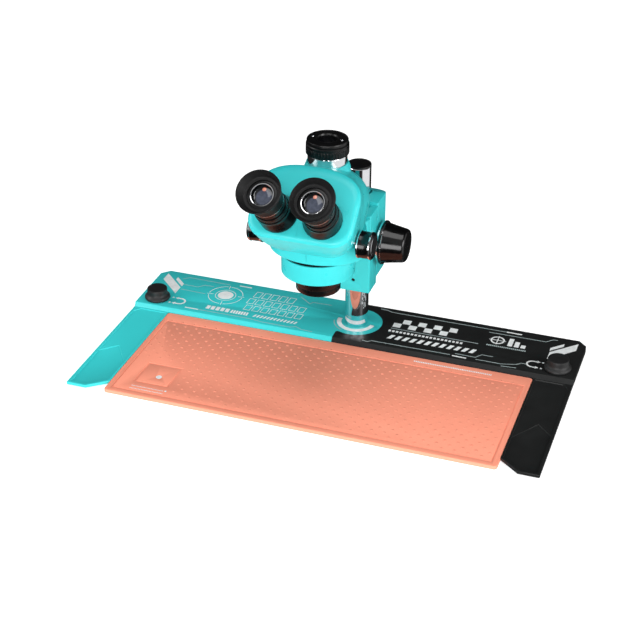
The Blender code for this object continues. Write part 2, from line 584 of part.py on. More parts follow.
def zoom_parts(head, looks):
    """The zoom shaft with its gear and knobs, and two lens carriages on opposite sides of the gear."""
    axis = empty("axis_zoom", head, (0, ZOOM_Y, ZOOM_Z), ALONG_X)
    rod = lathe([(ZOOM_SHAFT, -72), (ZOOM_SHAFT, 72)], SMALL)
    shaft = mesh_object("zoom_shaft", rod, looks["steel"], axis)
    join(shaft, toothed(ZOOM_TEETH, ZOOM_PITCH, 0.4, -6.0, 6.0))
    for name, side in (("left", -1), ("right", 1)):
        knob = [(15.6, 60.0), (16.8, 60.6), (16.8, 62.6), (16.3, 63.2), (16.3, 74.6), (16.8, 75.2),
                (16.8, 77.4), (15.2, 78.6), (8.0, 78.9)]
        body = mesh_object(f"zoom_knob_{name}", lathe([(r, side * z) for r, z in knob]), looks["black"], axis)
        cut(body, lathe([(ZOOM_SHAFT + GAP, side * 50), (ZOOM_SHAFT + GAP, side * 72.3)], SMALL))
        mesh_object(f"zoom_rod_{name}", lathe([
            (ROD_RADIUS, HEAD_BOTTOM + 1.8), (ROD_RADIUS, ROD_TOP)], SMALL, (side * ROD_X, HEAD_Y)),
            looks["steel"], head)
    # The gear has a gap on each rack's side, so an odd rack puts a tooth at the gear's height.
    rack = rack_outline(13, 2 * math.pi * ZOOM_PITCH / ZOOM_TEETH, 0.4, -4.2)
    plate_front = HEAD_Y - PLATE_HALF_Y
    for name, side, z in (("lower", -1, LOWER_PLATE), ("upper", 1, UPPER_PLATE)):
        carriage = mesh_object(f"zoom_carriage_{name}", box(
            (-PLATE_HALF_X, PLATE_HALF_X), (plate_front, HEAD_Y + PLATE_HALF_Y), (z, z + PLATE_THICK)),
            looks["alloy"], empty(f"axis_carriage_{name}", head))
        pitch_line = ZOOM_Y + side * ZOOM_PITCH
        low, high = sorted((side * 0.5, side * 5.5))
        rack_back = pitch_line + side * 4.2
        join(carriage, rack_bar(rack, -side, pitch_line, ZOOM_Z, low, high))
        join(carriage, box((low, high), (min(rack_back, rack_back - side * 2.2), plate_front + 1),
                           (z, z + PLATE_THICK)))
        post_low, post_high = (z, ZOOM_Z - 10) if side < 0 else (ZOOM_Z + 10, z + PLATE_THICK)
        join(carriage, box((low, high), sorted((rack_back, rack_back - side * 2.2)), (post_low, post_high)))
        for hole in (-1, 1):
            cut(carriage, lathe([(10.3, z - 2), (10.3, z + 6)], MEDIUM, (hole * CHANNEL_X, HEAD_Y)))
            cut(carriage, lathe([(ROD_RADIUS + GAP, z - 2), (ROD_RADIUS + GAP, z + 6)], SMALL,
                                (hole * ROD_X, HEAD_Y)))


def eyepiece_parts(head, looks):
    """Both eyepiece assemblies: socket, prism, dioptre ring, eyepiece, eye lens and eyecup."""
    for name, side in (("left", -1), ("right", 1)):
        pivot = empty(f"axis_socket_{name}", head, (side * SOCKET_X, FACE_Y, FACE_Z), EYE_TURN)
        middle = (side * TUBE_OFFSET, 0)
        base = (side * 0.6, 0)
        socket = mesh_object(f"eyepiece_socket_{name}", skin(bmesh.new(), [
            circle(SOCKET_SPIGOT, SOCKET_BOTTOM), circle(SOCKET_SPIGOT, GAP), circle(24.0, GAP, ROUND, base),
            circle(24.0, 3.0, ROUND, base), circle(21.5, 17.0, ROUND, middle),
            circle(21.5, SOCKET_TOP - 0.6, ROUND, middle), circle(20.9, SOCKET_TOP, ROUND, middle)]),
            looks["black"], pivot)
        cut(socket, lathe([(TUBE_BORE, -20), (TUBE_BORE, 30)], MEDIUM, middle))
        mesh_object(f"prism_{name}", box((middle[0] - 10, middle[0] + 10), (-10, 10),
                                         (SOCKET_BOTTOM - 20.3, SOCKET_BOTTOM - GAP)), looks["glass"], pivot)
        tube = empty(f"axis_tube_{name}", pivot, (*middle, 0))
        mesh_object(f"dioptre_ring_{name}", lathe([
            (TUBE_BORE, SOCKET_TOP + GAP), (20.2, SOCKET_TOP + GAP), (20.8, 23.0), (20.8, 30.3), (20.2, 31.0),
            (TUBE_BORE, 31.0)], ROUND, loop=True), looks["black"], tube)
        lift = empty(f"axis_lift_{name}", tube)
        mesh_object(f"eyepiece_{name}", lathe([
            (12.5, -8.0), (15.0, -8.0), (15.0, 31.3), (18.6, 31.3), (19.2, 32.2), (19.2, 42.5), (18.0, 43.6),
            (18.0, 62.0), (17.2, 62.8), (13.2, 62.8), (12.6, 62.0), (12.6, 58.0), (11.2, 58.0),
            (11.2, 46.0)], ROUND, loop=True), looks["black"], lift)
        mesh_object(f"eye_lens_{name}", lathe([
            (12.3, 58.3), (12.3, 60.2), (9.0, 61.1), (5.0, 61.6), (0.8, 61.8)], MEDIUM), looks["glass"], lift)
        flare = ((18.3, 46.0, 0), (20.9, 46.0, 0), (21.6, 56.0, 0), (23.2, 63.5, 0.6),
                 (27.2, 72.4, CUP_SHIFT), (26.4, 73.4, CUP_SHIFT), (21.4, 66.0, 0.6), (18.3, 62.6, 0))
        mesh_object(f"eyecup_{name}", skin(bmesh.new(), [
            circle(radius, along, ROUND, (side * shift, 0)) for radius, along, shift in flare], loop=True),
            looks["rubber"], lift)


def main():
    for old in list(bpy.data.objects):
        bpy.data.objects.remove(old, do_unlink=True)
    looks = {
        "teal": material("teal_paint", (0.048, 0.60, 0.63), 0.35),
        "mat": material("salmon_silicone", (0.87, 0.29, 0.19), 0.7),
        "black": material("black_plastic", (0.012, 0.012, 0.013), 0.3),
        "rubber": material("black_rubber", (0.015, 0.015, 0.016), 0.8),
        "chrome": material("chrome", (0.8, 0.8, 0.82), 0.08, 1.0),
        "steel": material("steel", (0.55, 0.55, 0.57), 0.3, 1.0),
        "brass": material("brass", (0.7, 0.5, 0.2), 0.3, 1.0),
        "alloy": material("grey_alloy", (0.6, 0.6, 0.62), 0.4, 1.0),
        "nylon": material("white_nylon", (0.8, 0.8, 0.76), 0.5),
        "glass": material("coated_glass", (0.12, 0.14, 0.2), 0.05),
    }
    foot = empty("post_foot", None, (0, POST_SHIFT, 0))
    base_plate(foot, looks)
    work_mat(foot, looks)
    post_parts(foot, looks)
    deck_knobs(foot, looks)
    height = empty("axis_height", foot)
    swing = empty("axis_swing", height)
    carrier_parts(swing, looks)
    pinion_parts(swing, looks)
    slide = empty("axis_focus", swing)
    focus_arm(slide, looks)
    head = empty("axis_head", slide)
    head_parts(head, looks)
    objective_parts(head, looks)
    port_parts(head, looks)
    zoom_parts(head, looks)
    eyepiece_parts(head, looks)


main()
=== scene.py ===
import math

import bmesh
import bpy
from mathutils import Matrix, Vector


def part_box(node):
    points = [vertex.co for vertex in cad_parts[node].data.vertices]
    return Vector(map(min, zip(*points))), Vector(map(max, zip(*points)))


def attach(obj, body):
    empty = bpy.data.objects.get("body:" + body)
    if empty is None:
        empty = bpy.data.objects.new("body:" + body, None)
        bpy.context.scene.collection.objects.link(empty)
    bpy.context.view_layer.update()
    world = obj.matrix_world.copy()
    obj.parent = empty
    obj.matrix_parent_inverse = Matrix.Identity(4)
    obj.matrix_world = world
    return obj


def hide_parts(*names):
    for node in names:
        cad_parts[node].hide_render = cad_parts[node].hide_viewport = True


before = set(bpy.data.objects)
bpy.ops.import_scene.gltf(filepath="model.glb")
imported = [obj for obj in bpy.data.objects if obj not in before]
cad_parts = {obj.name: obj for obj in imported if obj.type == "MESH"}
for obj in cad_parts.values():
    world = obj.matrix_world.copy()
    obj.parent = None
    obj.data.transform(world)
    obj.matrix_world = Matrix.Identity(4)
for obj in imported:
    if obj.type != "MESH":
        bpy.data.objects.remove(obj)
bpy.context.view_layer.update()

MM = 0.001
POST_Y = sum(corner[1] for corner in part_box("post")) / 2 / MM
FINE = 96                       # sides of a large round piece
MIDDLING = 64
COARSE = 32
SHARP = math.radians(33)        # steeper creases are drawn sharp
BEVEL_ABOVE = math.radians(40)


def span(node):
    """A node's lowest and highest corner, in millimetres from the post's axis."""
    low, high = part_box(node)
    return (Vector(low) / MM - Vector((0, POST_Y, 0)), Vector(high) / MM - Vector((0, POST_Y, 0)))


# ---------------------------------------------------------------- shapes

def circle(radius, z, sides=FINE, centre=(0, 0), radius_y=None):
    depth = radius if radius_y is None else radius_y
    turns = [2 * math.pi * step / sides for step in range(sides)]
    return [Vector((centre[0] + radius * math.cos(a), centre[1] + depth * math.sin(a), z)) for a in turns]


def skin(rings, loop=False):
    """Joins rings of equal count with side faces. Open ends are capped; a loop makes a tube wall."""
    mesh = bmesh.new()
    rows = [[mesh.verts.new(point) for point in ring] for ring in rings]
    pairs = list(zip(rows, rows[1:]))
    if loop:
        pairs.append((rows[-1], rows[0]))
    for low, high in pairs:
        for step in range(len(low)):
            after = (step + 1) % len(low)
            mesh.faces.new((low[step], low[after], high[after], high[step]))
    if not loop:
        mesh.faces.new(rows[0])
        mesh.faces.new(rows[-1])
    return mesh


def lathe(profile, sides=FINE, centre=(0, 0), loop=False):
    return skin([circle(radius, z, sides, centre) for radius, z in profile], loop)


def slab(outline, low, high):
    return skin([[Vector((x, y, z)) for x, y in outline] for z in (low, high)])


def box(x, y, z):
    return slab([(x[0], y[0]), (x[1], y[0]), (x[1], y[1]), (x[0], y[1])], *z)


def arc(centre, radius, start, end, steps):
    angles = [math.radians(start + (end - start) * step / steps) for step in range(steps + 1)]
    return [(centre[0] + radius * math.cos(a), centre[1] + radius * math.sin(a)) for a in angles]


def rounded(corners, radii, steps=6):
    """An outline whose corners are rounded with circular arcs, one radius for each corner."""
    points = []
    count = len(corners)
    for n, radius in enumerate(radii):
        here = Vector(corners[n])
        before = (Vector(corners[n - 1]) - here).normalized()
        after = (Vector(corners[(n + 1) % count]) - here).normalized()
        half = before.angle(after) / 2
        reach = radius / math.tan(half)
        middle = here + (before + after).normalized() * (radius / math.sin(half))
        first = here + before * reach - middle
        last = here + after * reach - middle
        sweep = first.angle_signed(last)
        for step in range(steps + 1):
            turned = first.copy()
            turned.rotate(Matrix.Rotation(-sweep * step / steps, 2))
            points.append(tuple(middle + turned))
    return points


def hull(points):
    mesh = bmesh.new()
    verts = [mesh.verts.new(point) for point in points]
    made = bmesh.ops.convex_hull(mesh, input=verts)
    inside = {item for item in made["geom_interior"] if isinstance(item, bmesh.types.BMVert)}
    bmesh.ops.delete(mesh, geom=list(inside), context="VERTS")
    return mesh


def gather(meshes):
    """One mesh from several closed ones that don't meet."""
    whole = bmesh.new()
    for part in meshes:
        data = bpy.data.meshes.new("part")
        part.to_mesh(data)
        part.free()
        whole.from_mesh(data)
        bpy.data.meshes.remove(data)
    return whole


def placed(mesh, at, turn=None):
    """Moves a bmesh: turned about its own origin, then shifted."""
    if turn is not None:
        bmesh.ops.transform(mesh, matrix=turn.to_4x4(), verts=mesh.verts)
    bmesh.ops.translate(mesh, vec=Vector(at), verts=mesh.verts)
    return mesh


def cut(mesh):
    return mesh, "DIFFERENCE"


def join(mesh):
    return mesh, "UNION"


def pin(radius, low, high, sides=COARSE, centre=(0, 0)):
    """A plain cylinder, used to drill and to fill."""
    return lathe([(radius, low), (radius, high)], sides, centre)


ALONG_X = Matrix.Rotation(math.radians(90), 3, "Y")
ALONG_BACK = Matrix.Rotation(math.radians(-90), 3, "X")
ALONG_FRONT = Matrix.Rotation(math.radians(90), 3, "X")
EYE_TURN = Matrix.Rotation(math.radians(45), 3, "X")     # square to the sloping face


def level_lathe(profile, side, spot, loop=False):
    """A lathe turned about a level axis that runs left and right; side is -1 or 1."""
    return placed(lathe([(r, side * z) for r, z in profile], FINE, loop=loop), spot, ALONG_X)


def raw_object(name, mesh):
    bmesh.ops.recalc_face_normals(mesh, faces=mesh.faces)
    bmesh.ops.translate(mesh, vec=(0, POST_Y, 0), verts=mesh.verts)
    bmesh.ops.scale(mesh, vec=(MM, MM, MM), verts=mesh.verts)
    data = bpy.data.meshes.new(name)
    mesh.to_mesh(data)
    mesh.free()
    data.shade_smooth()
    data.set_sharp_from_angle(angle=SHARP)
    made = bpy.data.objects.new(name, data)
    bpy.context.scene.collection.objects.link(made)
    return made


def baked(obj):
    """Applies the modifiers, so that helpers can be removed and no modifier is left."""
    graph = bpy.context.evaluated_depsgraph_get()
    data = bpy.data.meshes.new_from_object(obj.evaluated_get(graph))
    old = obj.data
    obj.modifiers.clear()
    obj.data = data
    bpy.data.meshes.remove(old)
    data.shade_smooth()
    data.set_sharp_from_angle(angle=SHARP)


def carve(obj, steps):
    """Runs Boolean steps, each a (mesh, operation) pair, and leaves a plain mesh."""
    helpers = []
    for mesh, operation in steps:
        helper = raw_object("helper", mesh)
        helper.hide_render = True
        step = obj.modifiers.new("boolean", "BOOLEAN")
        step.operation = operation
        step.solver = "EXACT"
        step.object = helper
        helpers.append(helper)
    bpy.context.view_layer.update()
    baked(obj)
    for helper in helpers:
        bpy.data.objects.remove(helper, do_unlink=True)


def piece(name, mesh, look, body, *nodes, steps=(), edge=0.0, segments=3):
    """A visible piece: built, carved, its edges rounded, given a material and put on its CAD body."""
    made = raw_object(name, mesh)
    if steps:
        carve(made, steps)
    if edge:
        bevel = made.modifiers.new("edges", "BEVEL")
        bevel.width = edge * MM
        bevel.segments = segments
        bevel.limit_method = "ANGLE"
        bevel.angle_limit = BEVEL_ABOVE
        bevel.harden_normals = False
        baked(made)
    made.data.materials.clear()
    made.data.materials.append(look if isinstance(look, bpy.types.Material) else LOOKS[look])
    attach(made, body)
    if nodes:
        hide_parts(*nodes)


# ---------------------------------------------------------------- materials

class Nodes:
    """Short ways to add nodes to a tree and to link them."""

    def __init__(self, tree):
        self.tree = tree

    def add(self, kind, **values):
        node = self.tree.nodes.new(kind)
        for key, value in values.items():
            setattr(node, key, value)
        return node

    def link(self, out, into):
        self.tree.links.new(out, into)

    def math(self, operation, first, second=0.0):
        node = self.add("ShaderNodeMath", operation=operation)
        for socket, value in zip(node.inputs, (first, second)):
            if isinstance(value, (int, float)):
                socket.default_value = value
            else:
                self.link(value, socket)
        return node.outputs[0]

    def spread(self, value, low, high, out_low=0.0, out_high=1.0, **values):
        node = self.add("ShaderNodeMapRange", **values)
        for socket, number in zip(list(node.inputs)[1:5], (low, high, out_low, out_high)):
            socket.default_value = number
        self.link(value, node.inputs[0])
        return node.outputs[0]


class Look(Nodes):
    """A Principled material whose colour, roughness and relief come from procedural nodes."""

    def __init__(self, name, roughness=0.4, metallic=0.0, coat=0.0, specular=0.5):
        self.made = bpy.data.materials.new(name)
        self.made.use_nodes = True
        super().__init__(self.made.node_tree)
        self.shader = self.tree.nodes["Principled BSDF"]
        for key, value in (("Roughness", roughness), ("Metallic", metallic), ("Coat Weight", coat),
                           ("Coat Roughness", 0.06), ("Specular IOR Level", specular)):
            self.shader.inputs[key].default_value = value
        self.coords = self.add("ShaderNodeTexCoord").outputs["Object"]

    def hypotenuse(self, first, second):
        squares = [self.math("MULTIPLY", value, value) for value in (first, second)]
        return self.math("SQRT", self.math("ADD", *squares))

    def noise(self, scale, detail=3.0):
        node = self.add("ShaderNodeTexNoise")
        node.inputs["Scale"].default_value = scale
        node.inputs["Detail"].default_value = detail
        self.link(self.coords, node.inputs["Vector"])
        return node.outputs["Fac"]

    def distance(self, centre):
        """How far a point lies from a centre, in millimetres."""
        node = self.add("ShaderNodeVectorMath", operation="DISTANCE")
        node.inputs[1].default_value = (centre + Vector((0, POST_Y, 0))) * MM
        self.link(self.coords, node.inputs[0])
        return self.math("DIVIDE", node.outputs["Value"], MM)

    def mix(self, factor, first, second):
        node = self.add("ShaderNodeMix", data_type="RGBA")
        self.link(factor, node.inputs[0])
        for socket, value in ((node.inputs[6], first), (node.inputs[7], second)):
            if isinstance(value, tuple):
                socket.default_value = (*value, 1.0)
            else:
                self.link(value, socket)
        return node.outputs[2]

    def mottled(self, colour, amount=0.05, scale=60.0, detail=3.0):
        dark = tuple(c * (1 - amount) for c in colour)
        light = tuple(min(1.0, c * (1 + amount)) for c in colour)
        return self.mix(self.spread(self.noise(scale, detail), 0.3, 0.7), dark, light)

    def colour(self, value):
        self.link(value, self.shader.inputs["Base Color"])

    def rough(self, low, high, scale):
        self.link(self.spread(self.noise(scale, 4.0), 0.3, 0.7, low, high), self.shader.inputs["Roughness"])

    def bump(self, height, strength, distance):
        node = self.add("ShaderNodeBump")
        node.inputs["Strength"].default_value = strength
        node.inputs["Distance"].default_value = distance
        self.link(height, node.inputs["Height"])
        self.link(node.outputs[0], self.shader.inputs["Normal"])


def enamel(name, colour):
    """Gloss enamel over a casting: faint orange peel and a soft variation of tone."""
    look = Look(name, 0.3, coat=0.06, specular=0.27)
    look.colour(look.mottled(colour, 0.02, 16.0))
    look.rough(0.27, 0.34, 60.0)
    look.bump(look.noise(240.0, 2.0), 0.06, 0.00006)
    return look.made


def plastic(name, colour, low, high, grain=900.0, depth=0.00005, coat=0.0, specular=0.5):
    look = Look(name, low, coat=coat, specular=specular)
    look.colour(look.mottled(colour, 0.10, 130.0))
    look.rough(low, high, 90.0)
    look.bump(look.noise(grain, 3.0), 0.10, depth)
    return look.made


def metal(name, colour, low, high, strength=0.04):
    look = Look(name, low, metallic=1.0)
    look.colour(look.mottled(colour, 0.03, 80.0))
    look.rough(low, high, 300.0)
    look.bump(look.noise(700.0, 2.0), strength, 0.00003)
    return look.made


TEAL = (0.034, 0.515, 0.530)
DECK_TEAL = (0.045, 0.610, 0.625)
DECK_BLACK = (0.0135, 0.014, 0.014)
BLACK = (0.0014, 0.0014, 0.0016)
SALMON = (0.950, 0.325, 0.215)
BLOOM = (0.050, 0.058, 0.085)
# colour of the small warm reflection painted on each eye lens
PAINTED_WARM_REFLECTION = (0.62, 0.22, 0.15)
SEAM_X = -19.0                  # where the teal paint of the deck meets the black
DISC_RADIUS = 36.0              # of the teal disc round the post
SEAM_CORNER = 5.0


def two_tone(name):
    """Base paint: teal on the left and on the disc round the post, black on the right."""
    look = Look(name, 0.3, coat=0.06, specular=0.27)
    teal = look.mottled(DECK_TEAL, 0.02, 14.0)
    black = look.mottled(DECK_BLACK, 0.12, 40.0)
    parts = look.add("ShaderNodeSeparateXYZ")
    look.link(look.coords, parts.inputs[0])
    x = look.math("DIVIDE", parts.outputs[0], MM)
    y = look.math("SUBTRACT", look.math("DIVIDE", parts.outputs[1], MM), POST_Y)
    reach = look.hypotenuse(x, y)
    # The black field keeps clear of the seam and of the disc, with a rounded corner between the two.
    from_seam = look.math("MAXIMUM", look.math("SUBTRACT", SEAM_X + SEAM_CORNER, x), 0.0)
    from_disc = look.math("MAXIMUM", look.math("SUBTRACT", DISC_RADIUS + SEAM_CORNER, reach), 0.0)
    field = look.math("GREATER_THAN", look.hypotenuse(from_seam, from_disc), SEAM_CORNER)
    look.colour(look.mix(field, black, teal))
    look.rough(0.28, 0.38, 60.0)
    look.bump(look.noise(260.0, 2.0), 0.06, 0.00006)
    return look.made


def silicone(name, colour):
    look = Look(name, 0.62, specular=0.2)
    look.colour(look.mottled(colour, 0.02, 35.0, 5.0))
    look.rough(0.55, 0.72, 200.0)
    look.bump(look.noise(1500.0, 4.0), 0.25, 0.00006)
    return look.made


def lens_glass(name, tint):
    """Coated optics drawn as a dark mirror with a blue-grey bloom."""
    look = Look(name, 0.04, coat=1.0)
    look.colour(look.mottled(tint, 0.15, 45.0))
    look.rough(0.03, 0.08, 60.0)
    look.bump(look.noise(60.0, 1.0), 0.02, 0.00005)
    return look.made


def eye_glass(name, centre):
    """An eye lens: a blue-grey bloom, a painted dark edge of shade on one side and a small painted warm
    reflection inside it.
    """
    look = Look(name, 0.05, coat=0.3)
    bloom = look.mottled(BLOOM, 0.2, 300.0)
    # Painted shade: the lens turns nearly black towards its rim on one side. A small warm reflection is
    # painted near its top.
    from_painted_shade_centre = look.distance(centre + EYE_TURN @ Vector((2.2, -2.2, 0.0)))
    shaded = look.mix(look.spread(from_painted_shade_centre, 8.6, 10.4), bloom, (0.004, 0.005, 0.006))
    spot = look.distance(centre + EYE_TURN @ Vector((0.6, 7.4, 0.0)))
    look.colour(look.mix(look.spread(spot, 2.1, 2.8), PAINTED_WARM_REFLECTION, shaded))
    look.rough(0.03, 0.07, 60.0)
    return look.made


LOOKS = {
    "teal": enamel("teal_enamel", TEAL),
    "base": two_tone("base_enamel"),
    "mat": silicone("salmon_silicone", SALMON),
    "black": plastic("black_gloss_plastic", BLACK, 0.13, 0.20, 700.0, 0.00003, 0.15, 0.4),
    "satin": plastic("black_satin_plastic", (0.0018, 0.0018, 0.002), 0.34, 0.46, specular=0.35),
    "matte": plastic("black_matte_plastic", (0.012, 0.012, 0.0125), 0.40, 0.52, specular=0.4),
    "anodised": plastic("black_anodised", (0.0022, 0.0022, 0.0025), 0.26, 0.32, 1500.0, 0.00002,
                        specular=0.35),
    "rubber": plastic("black_rubber", (0.0045, 0.0045, 0.0048), 0.50, 0.62, 1300.0, 0.00008,
                      specular=0.3),
    "chrome": metal("chrome", (0.86, 0.87, 0.89), 0.03, 0.09),
    "steel": metal("turned_steel", (0.56, 0.56, 0.58), 0.22, 0.36),
    "brass": metal("brass", (0.72, 0.50, 0.20), 0.24, 0.38),
    "alloy": metal("grey_alloy", (0.62, 0.62, 0.64), 0.32, 0.46, strength=0.1),
    "nylon": plastic("white_nylon", (0.72, 0.72, 0.68), 0.40, 0.55),
    "ink": plastic("white_ink", (0.86, 0.88, 0.88), 0.45, 0.60),
    "ink_grey": plastic("grey_ink", (0.42, 0.50, 0.50), 0.45, 0.60),
    "lens": lens_glass("lens_coating", (0.10, 0.115, 0.16)),
    "prism": lens_glass("prism_glass", (0.45, 0.52, 0.58)),
}

# ---------------------------------------------------------------- base plate

PLATE_LOW, PLATE_HIGH = span("base_plate")
MAT_LOW, MAT_HIGH = span("work_mat")
HALF = PLATE_HIGH.x
DECK_BACK = PLATE_HIGH.y
ARM_FRONT = PLATE_LOW.y
DECK_TOP = PLATE_HIGH.z
PLATE_BOTTOM = PLATE_LOW.z
MAT_HALF = MAT_HIGH.x
MAT_BACK = MAT_HIGH.y
MAT_FRONT = MAT_LOW.y
MAT_TOP = MAT_HIGH.z
DECK_FRONT = -49.9
ARM_TOP = 5.5
ARM_INNER = MAT_HALF + 0.3
CORNER = 10.9
SLANT_X = 285.5                 # the slanted front end of each arm
SLANT_Y = -242.4
TRAY_FLOOR = 4.3
KNOB_X = 287.0                  # the knobs on the deck
KNOB_Y = -29.4
STUD_BORE = 4.3
BOLT_BORE = 5.3
BOLT_HEAD_BORE = 9.5
SIDES = (("left", -1), ("right", 1))


def base_plate():
    bottom_front = MAT_BACK + 0.3
    back = [(-HALF + CORNER, DECK_BACK), (HALF - CORNER, DECK_BACK), (HALF, DECK_BACK - CORNER)]
    low = back + [(HALF, bottom_front), (-HALF, bottom_front), (-HALF, DECK_BACK - CORNER)]
    high = back + [(HALF, DECK_FRONT), (-HALF, DECK_FRONT), (-HALF, DECK_BACK - CORNER)]
    points = [Vector((x, y, z)) for x, y in low for z in (PLATE_BOTTOM, ARM_TOP)]
    points += [Vector((x, y, DECK_TOP)) for x, y in high]
    steps = []
    for side in (-1, 1):
        arm = [(ARM_INNER, DECK_FRONT + 12), (HALF, DECK_FRONT + 12), (HALF, ARM_FRONT),
               (SLANT_X, ARM_FRONT), (ARM_INNER, SLANT_Y)]
        steps.append(join(slab([(side * x, y) for x, y in arm], PLATE_BOTTOM, ARM_TOP)))
        inner = ARM_INNER + 2.7
        outer = HALF - 3.8
        front = ARM_FRONT + 3.8
        slant = [(outer, front), (SLANT_X + 1.5, front), (inner, SLANT_Y + 3)]
        tray = [(inner, bottom_front - 2.5), (outer - 8, bottom_front - 2.5), (outer, bottom_front - 12)]
        deep = [(inner, -193.0), (SLANT_X + 2.5, -155.0), (outer, -175.0)]
        for outline, floor_z in ((tray + slant, TRAY_FLOOR), (deep + slant, TRAY_FLOOR - 1.1)):
            steps.append(cut(slab([(side * x, y) for x, y in outline], floor_z, 9)))
        steps.append(cut(pin(STUD_BORE, -1, 20, centre=(side * KNOB_X, KNOB_Y))))
    for name in ("rear_left", "rear_right", "front_left", "front_right"):
        foot_low, foot_high = span(f"foot_{name}")
        middle = (foot_low + foot_high) / 2
        steps.append(cut(pin(foot_high.x - middle.x + 0.3, 0, foot_high.z + 0.3, centre=middle.xy)))
    steps += [cut(pin(BOLT_BORE, -1, 20)), cut(pin(BOLT_HEAD_BORE, -1, 6.5))]
    piece("base_casting", hull(points), "base", "base", "base_plate", steps=steps, edge=0.7)


base_plate()


def ribbon(points, width):
    """A flat line through points, mitred at its bends, as one outline."""
    spots = [Vector(point) for point in points]
    ways = [(last - first).normalized() for first, last in zip(spots, spots[1:])]
    left, right = [], []
    for n, spot in enumerate(spots):
        before = ways[max(n - 1, 0)]
        after = ways[min(n, len(ways) - 1)]
        middle = (before + after).normalized()
        side = Vector((-middle.y, middle.x)) * (width / 2 / max(middle.dot(after), 0.5))
        left.append(spot + side)
        right.append(spot - side)
    return right + left[::-1]


def bars(x, y, width, height, count, pitch, lean=0.0):
    """A row of equal upright or leaning bars."""
    return [[(x + n * pitch, y), (x + n * pitch + width, y), (x + n * pitch + width + lean, y + height),
             (x + n * pitch + lean, y + height)] for n in range(count)]


def frame_lines(x, y, width, height, lean):
    """The four sides of a leaning frame, as strips that don't meet."""
    line = 0.8
    gap = 0.05
    top = y + height
    low = y + line + gap
    high = top - line - gap
    right = x + width
    return [[(x, y), (right, y), (right, y + line), (x, y + line)],
            [(x + lean, top - line), (right + lean, top - line), (right + lean, top), (x + lean, top)],
            [(x + gap, low), (x + line, low), (x + line + lean, high), (x + lean + gap, high)],
            [(right - line, low), (right - gap, low), (right + lean - gap, high),
             (right + lean - line, high)]]


def ring_lines(centre, radius, start, end, width):
    """Part of a ring, in stretches of at most half a turn that don't quite meet."""
    parts = max(1, math.ceil((end - start) / 180))
    sweep = (end - start) / parts
    gap = 0.3 if parts > 1 else 0.0
    return [ribbon(arc(centre, radius, start + n * sweep + gap, start + (n + 1) * sweep - gap, 40), width)
            for n in range(parts)]


def disc(centre, radius):
    return arc(centre, radius, 0, 354, 59)


INK = 0.05                      # how far the print stands above and below the paint


def printed(name, outlines, look, z):
    piece(name, gather([slab(outline, z - INK, z + INK) for outline in outlines]), look, "base")


